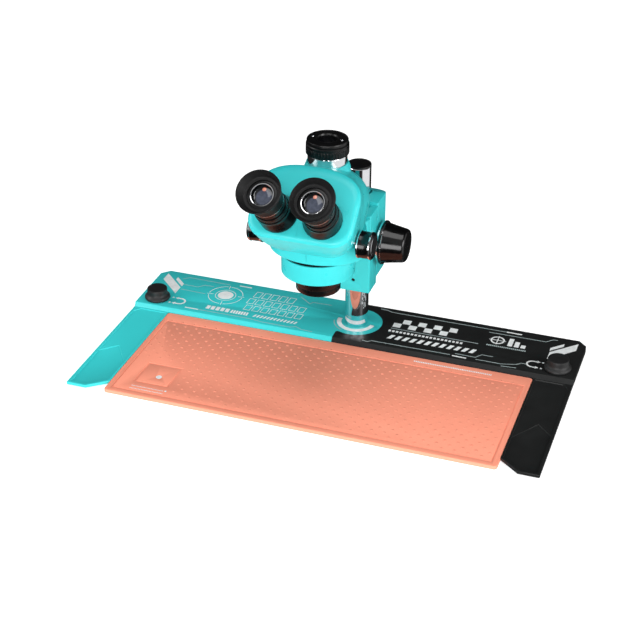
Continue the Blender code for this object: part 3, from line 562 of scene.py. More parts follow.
def deck_print():
    """Plain decoration: bars, hazard stripes, chequers, circuit lines, a reticle and turn arrows."""
    white = []
    faint = []
    # two slanted bars in each rear corner, and a half-turn arrow beside each knob
    for side in (-1, 1):
        for x, top, reach, base in ((301.5, 41.5, 33.0, 18.3), (283.7, 35.5, 16.0, 7.6)):
            white.append([(side * x, top), (side * (x - reach), top - reach),
                          (side * (x - reach), top - reach - base), (side * x, top - base)])
        facing = 0 if side < 0 else 180
        bend = arc((side * 253.0, -28.5), 7.2, facing - 90, facing + 90, 16)
        ends = [y for _, y in (bend[0], bend[-1])]
        white.append(ribbon([(side * 257.8, ends[0])] + bend + [(side * 257.8, ends[1])], 2.4))
        for y in ends:
            white.append([(side * 258.0, y - 3.0), (side * 262.8, y), (side * 258.0, y + 3.0)])
            white.append([(side * 264.6, y - 1.2), (side * 267.4, y - 1.2), (side * 267.4, y + 1.2),
                          (side * 264.6, y + 1.2)])
    # black half: chequered stage scale, ticks, hazard stripes, a cross-hair with level bars
    for row, y in enumerate((3.2, 15.2)):
        white += bars(50.5 + row * 11, y, 11, 11.0, 4, 22.0)
    white += bars(48.6, -10.6, 3.4, 4.6, 20, 5.3)
    white += bars(52.0, -28.6, 5.6, 10.4, 12, 10.35, 4.2)
    x, y = 196.0, 15.5
    white += ring_lines((x, y), 8.6, 0, 360, 2.2)
    for low, high in ((-11.5, -10.1), (-7.1, 7.1), (10.1, 11.5)):
        white.append(ribbon([(x + low, y), (x + high, y)], 1.2))
    for low, high in ((-11.0, -10.1), (-7.1, -0.8), (0.8, 7.1), (10.1, 11.0)):
        white.append(ribbon([(x, y + low), (x, y + high)], 1.2))
    for n, height in enumerate((20.0, 14.0, 8.0)):
        white += bars(211.0 + n * 9, 5.5, 6.4, height, 1, 1)
    faint += bars(184.0, -1.6, 1.8, 3.0, 21, 2.6)
    # teal half: a lens ring round a disc, framed panels, ticks, hazard stripes
    centre = (-198.5, 8.6)
    white.append(disc(centre, 11.2))
    white += ring_lines(centre, 14.6, 0, 360, 0.9)
    for turn in (0, 90, 180, 270):
        white += ring_lines(centre, 24.6, turn + 12, turn + 90, 0.9)
        a = math.radians(turn + 6)
        tip = Vector((math.cos(a), math.sin(a)))
        white.append(ribbon([Vector(centre) + tip * 18.0, Vector(centre) + tip * 27.5], 0.9))
    for x, y, count, height, lean in ((-160.0, 16.5, 5, 16.0, 1.0), (-163.0, -2.5, 7, 14.5, 0.8),
                                      (-161.0, -20.5, 7, 14.0, 0.8)):
        for n in range(count):
            white += frame_lines(x + n * 12.6, y, 9.8, height, lean)
    white += bars(-211.5, -35.2, 5.2, 9.4, 5, 7.2)
    white += bars(-174.5, -35.0, 2.6, 8.0, 7, 3.8)
    white += bars(-141.0, -35.0, 2.5, 6.6, 13, 5.0, 2.4)
    # short dashes and circuit lines, each a width and its bends
    for width, *path in (
            (2.2, (147.3, -42.9), (166.8, -43.6)), (2.4, (202.9, 40.8), (224.1, 40.4)),
            (2.2, (-239.9, -41.6), (-219.9, -41.6)), (2.2, (-189.1, 40.7), (-170.7, 40.7))):
        white.append(ribbon(path, width))
    for width, *path in (
            (1.1, (50, -1.0), (173, -1.8)),
            (1.1, (22, 44.2), (32.5, 43.6), (39.5, 40.6), (203, 40.6)),
            (1.1, (180, 32.6), (236.6, 33.0), (258.7, 32.8), (266.6, 41.1), (273.3, 42.0)),
            (1.1, (22, -44.5), (29.6, -46), (35.2, -42), (144.2, -41.6)),
            (1.1, (149.8, -36.7), (177.5, -37.2), (184.5, -28), (199.8, -28.2)),
            (1.1, (179.2, -41.9), (213.8, -42.2), (234.1, -36.5), (238.3, -31.5), (246.6, -31.8)),
            (1.1, (214.6, -47.0), (234.8, -45.4)),
            (0.9, (-219.9, -41.6), (-143, -41.4), (-123, -44.4), (-82, -44.4), (-74.5, -40.6),
             (-65.3, -45.4), (-48.9, -46.4)),
            (0.9, (-274.9, 32.7), (-267.1, 40.0), (-203.8, 39.0)),
            (0.9, (-267.0, 18.1), (-245.1, 18.0), (-237.5, 25.9), (-223.9, 26.4)),
            (0.9, (-265.8, 4.4), (-228.0, 3.0)),
            (0.9, (-96.0, 40.0), (-76.8, 24.8), (-74.2, 30.2), (-46.6, 31.2))):
        faint.append(ribbon(path, width))
    # an open ring on the disc that surrounds the post
    white += ring_lines((0, 0), 24.0, 174, 353, 6.2)
    faint += ring_lines((0, 0), 31.0, 190, 245, 1.2)
    printed("deck_print_white", white, "ink", DECK_TOP)
    printed("deck_print_grey", faint, "ink_grey", DECK_TOP + 0.01)


deck_print()

# ---------------------------------------------------------------- work mat

PANEL = (-231.0, -181.0, -233.0, -183.0)        # left, right, front and back of the framed panel
HOLE = (-203.4, -212.5)
HOLE_RADIUS = 4.2
DOME_START = (-247.0, -246.0)
DOME_PITCH = (16.7, 8.62)       # alternate rows are shifted by half a pitch
DOME_ROWS = 21
DOMES_IN_ROW = 31
DOME = ((2.3, 0), (2.0, 0.2), (1.4, 0.42), (0.6, 0.52))


def frame_cut(left, right, front, back, width, deep):
    """A groove along the four sides of a rectangle."""
    outer, inner = ([(left + by, front + by), (right - by, front + by), (right - by, back - by),
                     (left + by, back - by)] for by in (0, width))
    rows = ((outer, deep), (outer, MAT_TOP + 1), (inner, MAT_TOP + 1), (inner, deep))
    return cut(skin([[Vector((x, y, z)) for x, y in path] for path, z in rows], loop=True))


def work_mat():
    corners = [(MAT_HALF, MAT_BACK), (-MAT_HALF, MAT_BACK), (-MAT_HALF, MAT_FRONT), (MAT_HALF, MAT_FRONT)]
    outline = rounded(corners, [4.0] * 4, 8)
    rows = []
    for z, inset in ((0, 0.5), (0.5, 0), (MAT_TOP - 1.1, 0), (MAT_TOP - 0.45, 0.25), (MAT_TOP - 0.1, 0.7),
                     (MAT_TOP, 1.3)):
        rows.append([Vector((x - math.copysign(inset, x), y - math.copysign(inset, y + 157), z))
                     for x, y in outline])
    steps = [cut(pin(HOLE_RADIUS, -1, 9, centre=HOLE)),
             frame_cut(-252.5, 252.5, -254.0, -75.0, 1.7, MAT_TOP - 0.6),
             frame_cut(*PANEL, 3.6, MAT_TOP - 0.7)]
    piece("mat_sheet", skin(rows), "mat", "base", "work_mat", steps=steps, edge=0.22, segments=2)
    domes = []
    for row in range(DOME_ROWS):
        y = DOME_START[1] + row * DOME_PITCH[1]
        for n in range(DOMES_IN_ROW):
            x = DOME_START[0] + n * DOME_PITCH[0] + (DOME_PITCH[0] / 2 if row % 2 else 0.0)
            if abs(x) > -DOME_START[0] or (x < PANEL[1] + 7 and y < PANEL[3] + 7):
                continue
            domes.append(skin([circle(radius, MAT_TOP - 0.1 + height, 10, (x, y)) for radius, height in DOME]))
    piece("mat_bumps", gather(domes), "mat", "base")
    ticks = bars(101.0, -65.6, 1.6, 2.8, 44, 2.42)
    ticks += bars(-229.0, -242.6, 1.2, 1.5, 23, 1.95) + bars(-229.0, -248.6, 1.2, 1.5, 24, 1.95)
    ticks.append(disc((-181.5, -241.2), 1.5))
    printed("mat_print", ticks, "ink", MAT_TOP)
    rim = HOLE_RADIUS - 0.15
    piece("mat_eyelet", lathe([(0.6, 4.6), (rim, 4.6), (rim, MAT_TOP - 0.2), (rim - 0.2, MAT_TOP - 0.05),
                               (0.6, MAT_TOP - 0.05)], COARSE, HOLE), "ink", "base")


work_mat()

# ---------------------------------------------------------------- post, knobs on the deck

POST_R = span("post")[1].x
POST_TOP = span("post")[1].z
CAP_TOP = span("post_cap")[1].z
piece("post_tube", lathe([
    (5.3, 37), (5.3, DECK_TOP + 0.3), (POST_R - 0.7, DECK_TOP + 0.3), (POST_R - 0.15, DECK_TOP + 0.7),
    (POST_R, DECK_TOP + 1.4), (POST_R, POST_TOP - 0.5), (POST_R - 0.4, POST_TOP), (13.0, POST_TOP),
    (12.7, POST_TOP - 0.4), (12.7, 60)]), "chrome", "base", "post")
piece("post_cap_disc", lathe([
    (12.4, POST_TOP - 9), (12.4, POST_TOP + 0.3), (POST_R - 0.3, POST_TOP + 0.3), (POST_R, POST_TOP + 0.6),
    (POST_R, CAP_TOP - 0.7), (POST_R - 0.2, CAP_TOP - 0.2), (POST_R - 0.8, CAP_TOP),
    (POST_R - 2.2, CAP_TOP), (POST_R - 2.6, CAP_TOP - 0.35), (0.6, CAP_TOP - 0.35)]),
    "satin", "base", "post_cap")

KNOB_TOP = span("deck_knob_left")[1].z
for name, side in SIDES:
    foot = [(r, DECK_TOP + z) for r, z in (
        (STUD_BORE, 10.3), (STUD_BORE, 0.3), (16.4, 0.3), (17.4, 0.8), (17.95, 1.8), (18.0, 3.0),
        (17.7, 4.2), (16.9, 5.3), (15.6, 6.4), (14.7, 7.6), (14.25, 9.0), (14.1, 10.4))]
    top = [(r, KNOB_TOP - z) for r, z in (
        (14.1, 1.1), (13.9, 0.5), (13.3, 0.1), (12.4, 0), (10.6, 0.15), (0.6, 0.5))]
    piece(f"deck_knob_{name}_grip", lathe(foot + top, FINE, (side * KNOB_X, KNOB_Y)),
          "matte", f"deck_knob_{name}", f"deck_knob_{name}")

# ---------------------------------------------------------------- carrier on the post

SIDE = span("carrier")[1].x
CARRIER_LOW, CARRIER_HIGH = span("carrier")
PINION = (0, -23.0, 153.2)
SHAFT_BORE = 3.8
CLAMP_Z = 158.0


def carrier():
    corners = [(SIDE, CARRIER_LOW.y), (SIDE, CARRIER_HIGH.y), (-SIDE, CARRIER_HIGH.y), (-SIDE, CARRIER_LOW.y)]
    outline = rounded(corners, [1.6, 24.0, 24.0, 1.6], 12)
    _, pinion_y, pinion_z = PINION
    steps = [cut(placed(box((-50, 50), (0, 40), (0, 20)), (0, 3.0, CARRIER_HIGH.z),
                        Matrix.Rotation(math.radians(-17), 3, "X"))),
             cut(pin(18.0, 90, 220, MIDDLING)),
             cut(placed(pin(SHAFT_BORE, -50, 50), PINION, ALONG_X))]
    for side in (-1, 1):
        steps.append(cut(placed(pin(5.4, -4.4, 4.4), (side * (SIDE - 0.6), pinion_y, pinion_z), ALONG_X)))
    steps += [cut(box((17, 27), (CARRIER_LOW.y - 5, pinion_y + 8.2), (pinion_z - 9, pinion_z + 9))),
              cut(placed(pin(3.3, 10, 40), (0, 0, CLAMP_Z), ALONG_BACK))]
    piece("carrier_casting", slab(outline, CARRIER_LOW.z, CARRIER_HIGH.z), "teal", "carrier", "carrier",
          steps=steps, edge=1.1)


carrier()


def scalloped(radius, dip, z):
    """A ring of points with eight finger dips."""
    points = []
    for step in range(120):
        a = 2 * math.pi * step / 120
        r = radius - dip * (0.5 - 0.5 * math.cos(8 * a)) ** 2
        points.append(Vector((r * math.cos(a), r * math.sin(a), z)))
    return points


piece("clamp_grip", placed(skin([scalloped(*row) for row in (
    (3.3, 0, 42), (3.3, 0, 28), (8.6, 0, 28), (9.0, 0, 28.5), (9.0, 0, 33.0), (9.4, 0, 33.6),
    (15.3, 1.2, 34.8), (16.7, 2.2, 35.8), (17.0, 2.6, 37.2), (17.0, 2.6, 45.0), (16.6, 2.4, 46.4),
    (15.4, 1.6, 47.4), (13.5, 0.4, 47.9), (11.8, 0, 47.9), (11.2, 0, 47.4), (1.0, 0, 47.4))]),
    (0, 0, CLAMP_Z), ALONG_BACK),
    "black", "clamp", "clamp_knob")

for name, side in SIDES:
    collar = [(SHAFT_BORE, 37.6), (23.6, 37.6), (25.2, 37.8), (26.4, 38.4), (27.0, 39.2), (27.0, 41.0),
              (26.6, 41.4), (SHAFT_BORE, 41.4)]
    piece(f"focus_collar_{name}_ring", level_lathe(collar, side, PINION, loop=True), "chrome", "pinion",
          f"focus_collar_{name}")
    knob = [(SHAFT_BORE, 62.5), (SHAFT_BORE, 41.7), (28.6, 41.7), (29.1, 41.9), (29.4, 42.4), (29.4, 44.4),
            (29.2, 44.9), (28.6, 45.3), (27.6, 45.5), (27.1, 46.0), (26.9, 47.0), (25.0, 56.9), (22.8, 70.4),
            (22.5, 71.9), (22.0, 73.2), (21.2, 74.3), (20.2, 74.9), (19.0, 75.2), (16.4, 75.2), (15.9, 74.8),
            (0.8, 74.8)]
    piece(f"focus_knob_{name}_grip", level_lathe(knob, side, PINION), "black", "pinion", f"focus_knob_{name}")
    trim = [(26.95, 45.35), (28.5, 45.2), (28.5, 45.5), (27.0, 45.75)]
    piece(f"focus_knob_{name}_trim", level_lathe(trim, side, PINION, loop=True), "chrome", "pinion")

# ---------------------------------------------------------------- focus arm

ARM_LOW, ARM_HIGH = span("focus_arm")
BLOCK_FRONT = -60.9
BLOCK_BACK = -29.0
GROOVE_END = -36.8              # the floor of the dovetail groove
SCREW_BORE = 2.5
HEAD_Y = -164.3
HEAD_SPOT = (0, HEAD_Y)
RING_R = 46.0
RING_BORE = 38.0
RING_LOW = 178.9
RING_HIGH = 204.2


def focus_arm():
    block = rounded([(-SIDE, BLOCK_FRONT), (SIDE, BLOCK_FRONT), (SIDE, BLOCK_BACK), (-SIDE, BLOCK_BACK)],
                    [2.0, 2.0, 0.8, 0.8], 5)
    neck = [(34.4, BLOCK_FRONT + 6), (-34.4, BLOCK_FRONT + 6), (-34.4, BLOCK_FRONT - 0.5)]
    neck += arc((-36.0, BLOCK_FRONT - 9), 5.0, 60, 0, 8)
    neck += [(-31.0, HEAD_Y + 20), (31.0, HEAD_Y + 20)]
    neck += arc((36.0, BLOCK_FRONT - 9), 5.0, 180, 120, 8)
    neck += [(34.4, BLOCK_FRONT - 0.5)]
    steps = [join(slab(neck, RING_LOW + 1, RING_HIGH - 1)),
             join(pin(RING_R, RING_LOW, RING_HIGH, FINE, HEAD_SPOT)),
             cut(pin(RING_BORE, 150, 230, FINE, HEAD_SPOT))]
    groove = [(-12.3, BLOCK_BACK + 5), (12.3, BLOCK_BACK + 5), (12.3, BLOCK_BACK - 0.1),
              (15.4, GROOVE_END), (-15.4, GROOVE_END), (-12.3, BLOCK_BACK - 0.1)]
    lock_turn = Matrix.Rotation(math.radians(240), 3, "Z") @ ALONG_FRONT
    steps += [cut(slab(groove, 80, 230)),
              cut(box((17.9, 26.1), (-35.2, BLOCK_BACK + 4), (80, 230))),
              cut(placed(pin(SCREW_BORE, -9, 3), (13.0, BLOCK_FRONT, 110.9), ALONG_FRONT)),
              cut(placed(pin(SCREW_BORE, 34, 50), (0, HEAD_Y, (RING_LOW + RING_HIGH) / 2), lock_turn))]
    piece("focus_arm_casting", slab(block, ARM_LOW.z, ARM_HIGH.z), "teal", "arm", "focus_arm",
          steps=steps, edge=0.9)


focus_arm()

# ---------------------------------------------------------------- head

FACE = Vector((0, -229.7, 280.2))        # the middle of the sloping face, between the eyepieces
EYE_X = 27.0                    # from there to each socket's axis
EYE_OFFSET = 3.6                # from a socket's axis to its eyepiece's axis
HEAD_BOTTOM = span("head_body")[0].z
POT_LOW = 207.0
PORT_SPOT = (0, -131.6)
PORT_SEAT = 310.7
PORT_SCREW_X = 18.4
ZOOM_SPOT = (0, -190.0, 236.0)
ZOOM_BORE = 2.8
SEAM_FRONT = -213               # of the slit down the middle of the lower housing
WALL = 3.5
FACE_FULLNESS = 0.80
COVER_EDGE = 6.6                # radius of the cover's rim, larger along the top


def face_point(across, up, depth):
    """A point given on the sloping face: across, up along it, and depth behind it."""
    return FACE + Vector((across, 0, 0)) + EYE_TURN @ Vector((0, up, -depth))


def shield(wide, low, high, corner, depth, fullness=1.0):
    """A section parallel to the face: round lower corners, straight sides and an arched top.

    The arch is an ellipse at fullness 1; less than 1 swells its shoulders.
    """
    side_top = low + 0.577 * (high - low)
    flat = arc((wide - corner, low + corner), corner, -90, 0, 14)
    for across, up in arc((0, 0), 1.0, 0, 180, 56):
        flat.append((math.copysign(wide * abs(across) ** fullness, across),
                     side_top + (high - side_top) * max(up, 0.0) ** fullness))
    flat += arc((corner - wide, low + corner), corner, 180, 270, 14)
    return [face_point(x, up, depth) for x, up in flat]


# Depth behind the face, half width, lowest and highest point, radius of the lower corners, fullness.
BODY_SECTIONS = (
    (8.3, 65.2, -29.5, 66.6, 25.0, FACE_FULLNESS),
    (26.0, 62.4, -31.0, 74.0, 26.0, 0.86),
    (46.0, 58.6, -30.0, 84.5, 30.0, 0.93),
    (66.0, 57.0, -22.0, 94.0, 34.0, 1.0),
    (84.0, 54.0, -8.0, 98.5, 38.0, 1.0),
    (100.0, 49.0, 7.0, 95.5, 36.0, 1.0),
    (114.0, 41.0, 23.0, 88.0, 28.0, 1.0),
    (124.0, 30.0, 37.0, 79.0, 18.0, 1.0),
    (130.0, 15.0, 50.0, 68.0, 8.0, 1.0),
)


def smooth(rows, parts):
    """Fills in rows between the given ones along a Catmull-Rom curve."""
    filled = []
    for n in range(len(rows) - 1):
        around = [rows[max(n - 1, 0)], rows[n], rows[n + 1], rows[min(n + 2, len(rows) - 1)]]
        for step in range(parts):
            t = step / parts
            weights = (-0.5 * t + t * t - 0.5 * t ** 3, 1 - 2.5 * t * t + 1.5 * t ** 3,
                       0.5 * t + 2 * t * t - 1.5 * t ** 3, -0.5 * t * t + 0.5 * t ** 3)
            filled.append(tuple(sum(w * value for w, value in zip(weights, column))
                                for column in zip(*around)))
    return filled + [tuple(rows[-1])]


def head_shell(wall=0.0):
    sections = BODY_SECTIONS[:-1] if wall else BODY_SECTIONS
    rings = []
    for n, (depth, wide, low, high, corner, fullness) in enumerate(smooth(sections, 6)):
        if wall:
            depth = 2.0 if n == 0 else depth - wall * 0.5
        rings.append(shield(wide - wall, low + wall, high - wall, corner - wall * 0.5, depth, fullness))
    if not wall:
        rings.append(shield(10.0, 53.5, 64.5, 5.0, 131.3))
        rings.append(shield(4.0, 57.0, 61.0, 1.9, 131.9))
    return skin(rings)


def oval(z, radius_x, radius_y):
    return circle(radius_x, z, FINE, HEAD_SPOT, radius_y)


def head():
    pot = skin([oval(z, 61.6 - inset, 45.5 - inset * 0.9 + swell) for z, inset, swell in (
        (POT_LOW, 1.7, 0), (POT_LOW + 0.3, 0.9, 0), (POT_LOW + 0.9, 0.3, 0), (POT_LOW + 1.8, 0, 0),
        (226, 0, 1.0), (240, 2.5, 5.2))])
    neck = [(28.6, 284), (28.6, 302), (28.2, 304.5), (27.3, 306.5), (26.4, 308.5), (25.8, PORT_SEAT)]
    spigot = [(37.1, HEAD_BOTTOM), (37.7, HEAD_BOTTOM + 0.6), (37.7, 215)]
    steps = [join(pot), join(lathe(spigot, FINE, HEAD_SPOT)),
             cut(head_shell(WALL)),
             cut(skin([oval(POT_LOW + WALL, 56.5, 42.0), oval(243, 52.5, 42.0)])),
             join(lathe(neck, FINE, PORT_SPOT)),
             cut(pin(24.7, PORT_SEAT - 2.5, 330, FINE, PORT_SPOT)),
             cut(pin(19.0, 270, 320, MIDDLING, PORT_SPOT)),
             cut(pin(31.0, 150, 222, MIDDLING, HEAD_SPOT)),
             cut(placed(pin(ZOOM_BORE, -90, 90), ZOOM_SPOT, ALONG_X)),
             cut(box((-0.2, 0.2), (SEAM_FRONT, HEAD_Y - 45.1), (206, 227)))]
    piece("head_casting", head_shell(), "teal", "head", "head_body", steps=steps)
    rows = []
    for step in range(13):
        a = math.radians(90 * step / 12)
        rows.append((-COVER_EDGE * (1 - math.sin(a)), COVER_EDGE * (1 - math.cos(a))))
    rows += [(0, 7.7), (-0.3, 8.0)]
    cover = skin([shield(65.6 + inset, -30.0 - inset, 67.0 + 2.2 * inset, 25.0 + inset / 2, depth,
                         FACE_FULLNESS) for inset, depth in rows])
    cuts = [cut(placed(pin(20.8, -20, 12, FINE), FACE + Vector((side * EYE_X, 0, 0)), EYE_TURN))
            for side in (-1, 1)]
    cuts.append(cut(placed(box((-0.18, 0.18), (-28, -6), (-0.35, 4)), FACE, EYE_TURN)))
    piece("head_cover", cover, "teal", "head", "face_cover", steps=cuts)


head()

# A black ring between the arm's ring and the pot: it stands for the head's black base ring, and it also paints
# the shade that falls in the crescent-shaped gap under the pot.
piece("head_base_ring_and_gap_shade", lathe([
    (37.9, RING_HIGH + 0.25), (44.4, RING_HIGH + 0.25), (44.9, RING_HIGH + 0.6), (44.9, POT_LOW - 0.5),
    (44.4, POT_LOW - 0.1), (37.9, POT_LOW - 0.1)], FINE, HEAD_SPOT, loop=True), "anodised", "head")
piece("objective_housing", lathe([
    (24.0, 153.0), (26.9, 153.0), (27.6, 153.3), (28.0, 154.0), (28.0, 160.4), (27.7, 160.7), (27.7, 161.2),
    (28.3, 161.4), (28.6, 161.9), (28.6, 173.6), (28.9, 174.2), (30.2, 174.7), (30.6, 175.3), (30.6, 206.5),
    (26.0, 206.5), (26.0, 170.0), (24.0, 169.0)], FINE, HEAD_SPOT, loop=True),
    "anodised", "head", "objective_barrel")
piece("objective_front_lens", lathe([
    (0.8, 170.2), (25.4, 170.2), (25.7, 170.5), (25.7, 173.2), (22.5, 174.5), (18.0, 175.6), (12.0, 176.5),
    (6.0, 176.9), (0.8, 177.0)], MIDDLING, HEAD_SPOT), "lens", "head", "objective_lens")

# ---------------------------------------------------------------- camera port

piece("port_base", lathe([
    (19.2, 308.5), (24.4, 308.5), (24.4, 320.6), (24.0, 321.6), (19.2, 321.6)], FINE, PORT_SPOT, loop=True),
    "chrome", "head", "port_base_ring")


def ribbed(rows, ribs, centre=(0, 0)):
    """A ring turned from radius, rib depth and height rows; a depth of 0 leaves a row plain."""
    rings = []
    for radius, dip, z in rows:
        ring = []
        for n in range(ribs * 6):
            a = 2 * math.pi * n / (ribs * 6)
            r = radius - (dip if n % 6 > 2 else 0)
            ring.append(Vector((centre[0] + r * math.cos(a), centre[1] + r * math.sin(a), z)))
        rings.append(ring)
    return skin(rings, loop=True)


piece("port_lock_grip", ribbed((
    (21.6, 0, 321.9), (25.3, 0, 321.9), (25.9, 0, 322.3), (26.6, 0.7, 323.0), (26.6, 0.7, 330.6),
    (26.0, 0, 331.2), (26.0, 0, 331.8), (26.5, 0, 332.2), (26.5, 0, 335.1), (25.9, 0, 335.9),
    (21.6, 0, 335.9)), 44, PORT_SPOT), "anodised", "port_ring", "port_lock_ring")
piece("port_head", lathe([
    (21.2, 321.9), (21.2, 336.2), (24.9, 336.2), (25.5, 336.7), (25.5, 339.8), (25.2, 340.5), (24.5, 340.9),
    (23.4, 340.9), (23.0, 340.5), (15.0, 340.5), (14.2, 340.9), (13.5, 340.7), (12.8, 338.9), (12.3, 338.6),
    (11.4, 338.6), (11.4, 321.9)], FINE, PORT_SPOT, loop=True), "anodised", "head", "port_top",
    steps=[cut(pin(1.8, 335.0, 345.0, centre=(side * PORT_SCREW_X, PORT_SPOT[1]))) for side in (-1, 1)])


def socket_screw(radius, low, high):
    """A socket-head screw: rounded rim and a six-sided recess."""
    rows = [(radius * 0.7, low), (radius, low + 0.2), (radius, high - 0.25), (radius - 0.25, high)]
    rings = [circle(r, z, 36) for r, z in rows]
    turns = [2 * math.pi * (round(n / 6) * 6) / 36 + (n - round(n / 6) * 6) * 0.05 for n in range(36)]
    for z in (high, high - 0.9):
        rings.append([Vector((radius * 0.55 * math.cos(a), radius * 0.55 * math.sin(a), z)) for a in turns])
    return skin(rings)


for name, side in SIDES:
    piece(f"port_screw_{name}_head", placed(socket_screw(1.75, 335.4, 340.85),
                                            (side * PORT_SCREW_X, PORT_SPOT[1], 0)),
          "chrome", "head", f"port_screw_{name}")
piece("port_front_lens", lathe([
    (0.8, 327.9), (10.9, 327.9), (11.1, 328.1), (11.1, 330.0), (9.0, 331.0), (6.0, 331.7), (3.0, 331.95),
    (0.8, 332.0)], MIDDLING, PORT_SPOT), "lens", "head", "port_lens")

# ---------------------------------------------------------------- zoom knobs

for name, side in SIDES:
    knob = [(ZOOM_BORE, 72.3), (ZOOM_BORE, 60.0), (15.2, 60.0), (16.3, 60.2), (16.8, 60.8), (16.8, 62.4),
            (16.5, 63.0), (16.3, 63.4), (16.3, 74.2), (16.5, 74.7), (16.8, 75.2), (16.8, 77.0), (16.4, 77.9),
            (15.4, 78.6), (13.4, 78.9), (13.1, 78.6), (13.1, 77.9), (0.8, 77.9)]
    piece(f"zoom_knob_{name}_grip", level_lathe(knob, side, ZOOM_SPOT), "black", "zoom", f"zoom_knob_{name}")
    cap = [(0.8, 78.2), (12.8, 78.2), (12.8, 78.3), (11.9, 78.75), (9.6, 79.1), (8.6, 78.7), (7.4, 78.7),
           (6.2, 79.1), (3.4, 79.3), (0.8, 79.35)]
    piece(f"zoom_cap_{name}", level_lathe(cap, side, ZOOM_SPOT), "chrome", "zoom")
    for end, low, high in (("inner", 60.9, 62.3), ("outer", 75.3, 76.9)):
        trim = [(16.75, low), (16.95, low + 0.1), (16.95, high), (16.75, high + 0.1)]
        piece(f"zoom_trim_{name}_{end}", level_lathe(trim, side, ZOOM_SPOT, loop=True), "chrome", "zoom")

# ---------------------------------------------------------------- eyepieces

CUP_SHIFT = 1.8                 # how far an eyecup's rim leans outward


def eyepiece(name, side):
    """The four turned parts on one socket, their trims, lens and rubber cup."""
    pivot = FACE + Vector((side * EYE_X, 0, 0))
    tube = pivot + EYE_TURN @ Vector((side * EYE_OFFSET, 0, 0))
    body = f"eyepiece_{name}"

    def turned(profile, sides=FINE, loop=True):
        return placed(lathe(profile, sides, loop=loop), tube, EYE_TURN)

    def shifted(rows):
        """Round sections whose centres move outward, each a radius, a height and a shift."""
        return [circle(r, s, FINE, (side * shift, 0)) for r, s, shift in rows]

    flare = smooth([(24.0, 0.9, 0.6), (24.0, 2.6, 0.6), (23.7, 4.6, 0.9), (23.1, 7.6, 1.6), (22.4, 11.6, 2.5),
                    (21.8, 15.0, 3.2), (21.5, 17.4, EYE_OFFSET), (21.5, 21.2, EYE_OFFSET)], 3)
    rings = shifted([(15.6, -12, EYE_OFFSET), (20.5, -12, 0), (20.5, 0.3, 0), (23.4, 0.3, 0.6)] + flare
                    + [(20.9, 22.0, EYE_OFFSET), (15.6, 22.0, EYE_OFFSET)])
    piece(f"socket_{name}_flare", placed(skin(rings, loop=True), pivot, EYE_TURN), "anodised",
          f"socket_{name}", f"eyepiece_socket_{name}")
    piece(f"dioptre_{name}_grip", placed(ribbed((
        (15.6, 0, 22.3), (20.0, 0, 22.3), (20.5, 0, 22.7), (20.8, 0.35, 23.4), (20.8, 0.35, 28.2),
        (20.4, 0, 28.7), (20.4, 0, 30.4), (20.0, 0, 31.0), (15.6, 0, 31.0)), 64), tube, EYE_TURN),
        "anodised", f"dioptre_{name}", f"dioptre_ring_{name}")
    piece(f"eyepiece_{name}_barrel", turned([
        (12.5, -8.0), (14.4, -8.0), (15.0, -7.4), (15.0, 31.3), (18.6, 31.3), (19.1, 31.8), (19.2, 32.6),
        (19.2, 36.4), (18.8, 36.8), (18.8, 37.6), (19.2, 38.0), (19.2, 42.3), (18.8, 43.2), (18.0, 43.6),
        (18.0, 61.9), (17.7, 62.5), (17.0, 62.8), (14.2, 62.8), (13.6, 62.2), (12.9, 58.0), (11.2, 58.0),
        (11.2, 46.0)]), "anodised", body, f"eyepiece_{name}")
    piece(f"eyepiece_{name}_trim", turned([
        (18.2, 43.9), (20.4, 43.9), (20.8, 44.3), (20.8, 45.4), (18.2, 45.7)]), "steel", body)
    piece(f"eyepiece_{name}_bezel", turned([
        (12.9, 62.2), (14.4, 62.5), (14.4, 63.2), (13.9, 63.6), (13.1, 63.5), (12.8, 63.0)]), "chrome", body)
    piece(f"eye_lens_{name}_front", turned([
        (0.8, 58.2), (12.1, 58.2), (12.4, 58.4), (12.4, 60.0), (10.6, 60.8), (8.4, 61.3), (5.6, 61.65),
        (2.8, 61.8), (0.8, 61.82)], MIDDLING, loop=False),
        eye_glass(f"eye_coating_and_painted_reflection_{name}", tube + EYE_TURN @ Vector((0, 0, 60.5))), body, f"eye_lens_{name}")
    outer = smooth([(20.9, 46.2, 0), (21.2, 51.0, 0), (21.7, 56.5, 0.1), (22.8, 62.5, 0.5), (24.8, 68.4, 1.2),
                    (27.0, 72.1, CUP_SHIFT)], 4)
    lip = [(27.15, 72.5, CUP_SHIFT), (26.9, 72.85, CUP_SHIFT), (26.4, 73.3, CUP_SHIFT)]
    inner = smooth([(26.0, 72.7, CUP_SHIFT), (24.9, 70.4, 1.5), (23.6, 67.6, 1.0), (22.5, 65.2, 0.5),
                    (21.9, 63.9, 0.3), (21.3, 63.4, 0.2)], 4)
    rows = [(18.25, 46.0, 0), (20.5, 46.0, 0)] + outer + lip + inner + [(18.25, 63.2, 0), (18.25, 62.9, 0)]
    piece(f"eyecup_{name}_rubber", placed(skin(shifted(rows), loop=True), tube, EYE_TURN), "rubber", body,
          f"eyecup_{name}")


for name, side in SIDES:
    eyepiece(name, side)

# ---------------------------------------------------------------- inner CAD nodes keep their shapes

NODE_LOOKS = {
    "rubber": "foot_rear_left foot_rear_right foot_front_left foot_front_right",
    "steel": "post_bolt deck_stud_left deck_stud_right dovetail_rail clamp_stud pinion_shaft"
             " zoom_rod_left zoom_rod_right zoom_shaft",
    "satin": "arm_screw head_lock_screw",
    "brass": "shaft_bush_left shaft_bush_right focus_rack",
    "nylon": "post_bush",
    "alloy": "zoom_carriage_lower zoom_carriage_upper",
    "prism": "beam_splitter prism_left prism_right",
}
for look, names in NODE_LOOKS.items():
    for name in names.split():
        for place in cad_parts[name].material_slots:
            place.material = LOOKS[look]

# ---------------------------------------------------------------- floor, light and camera

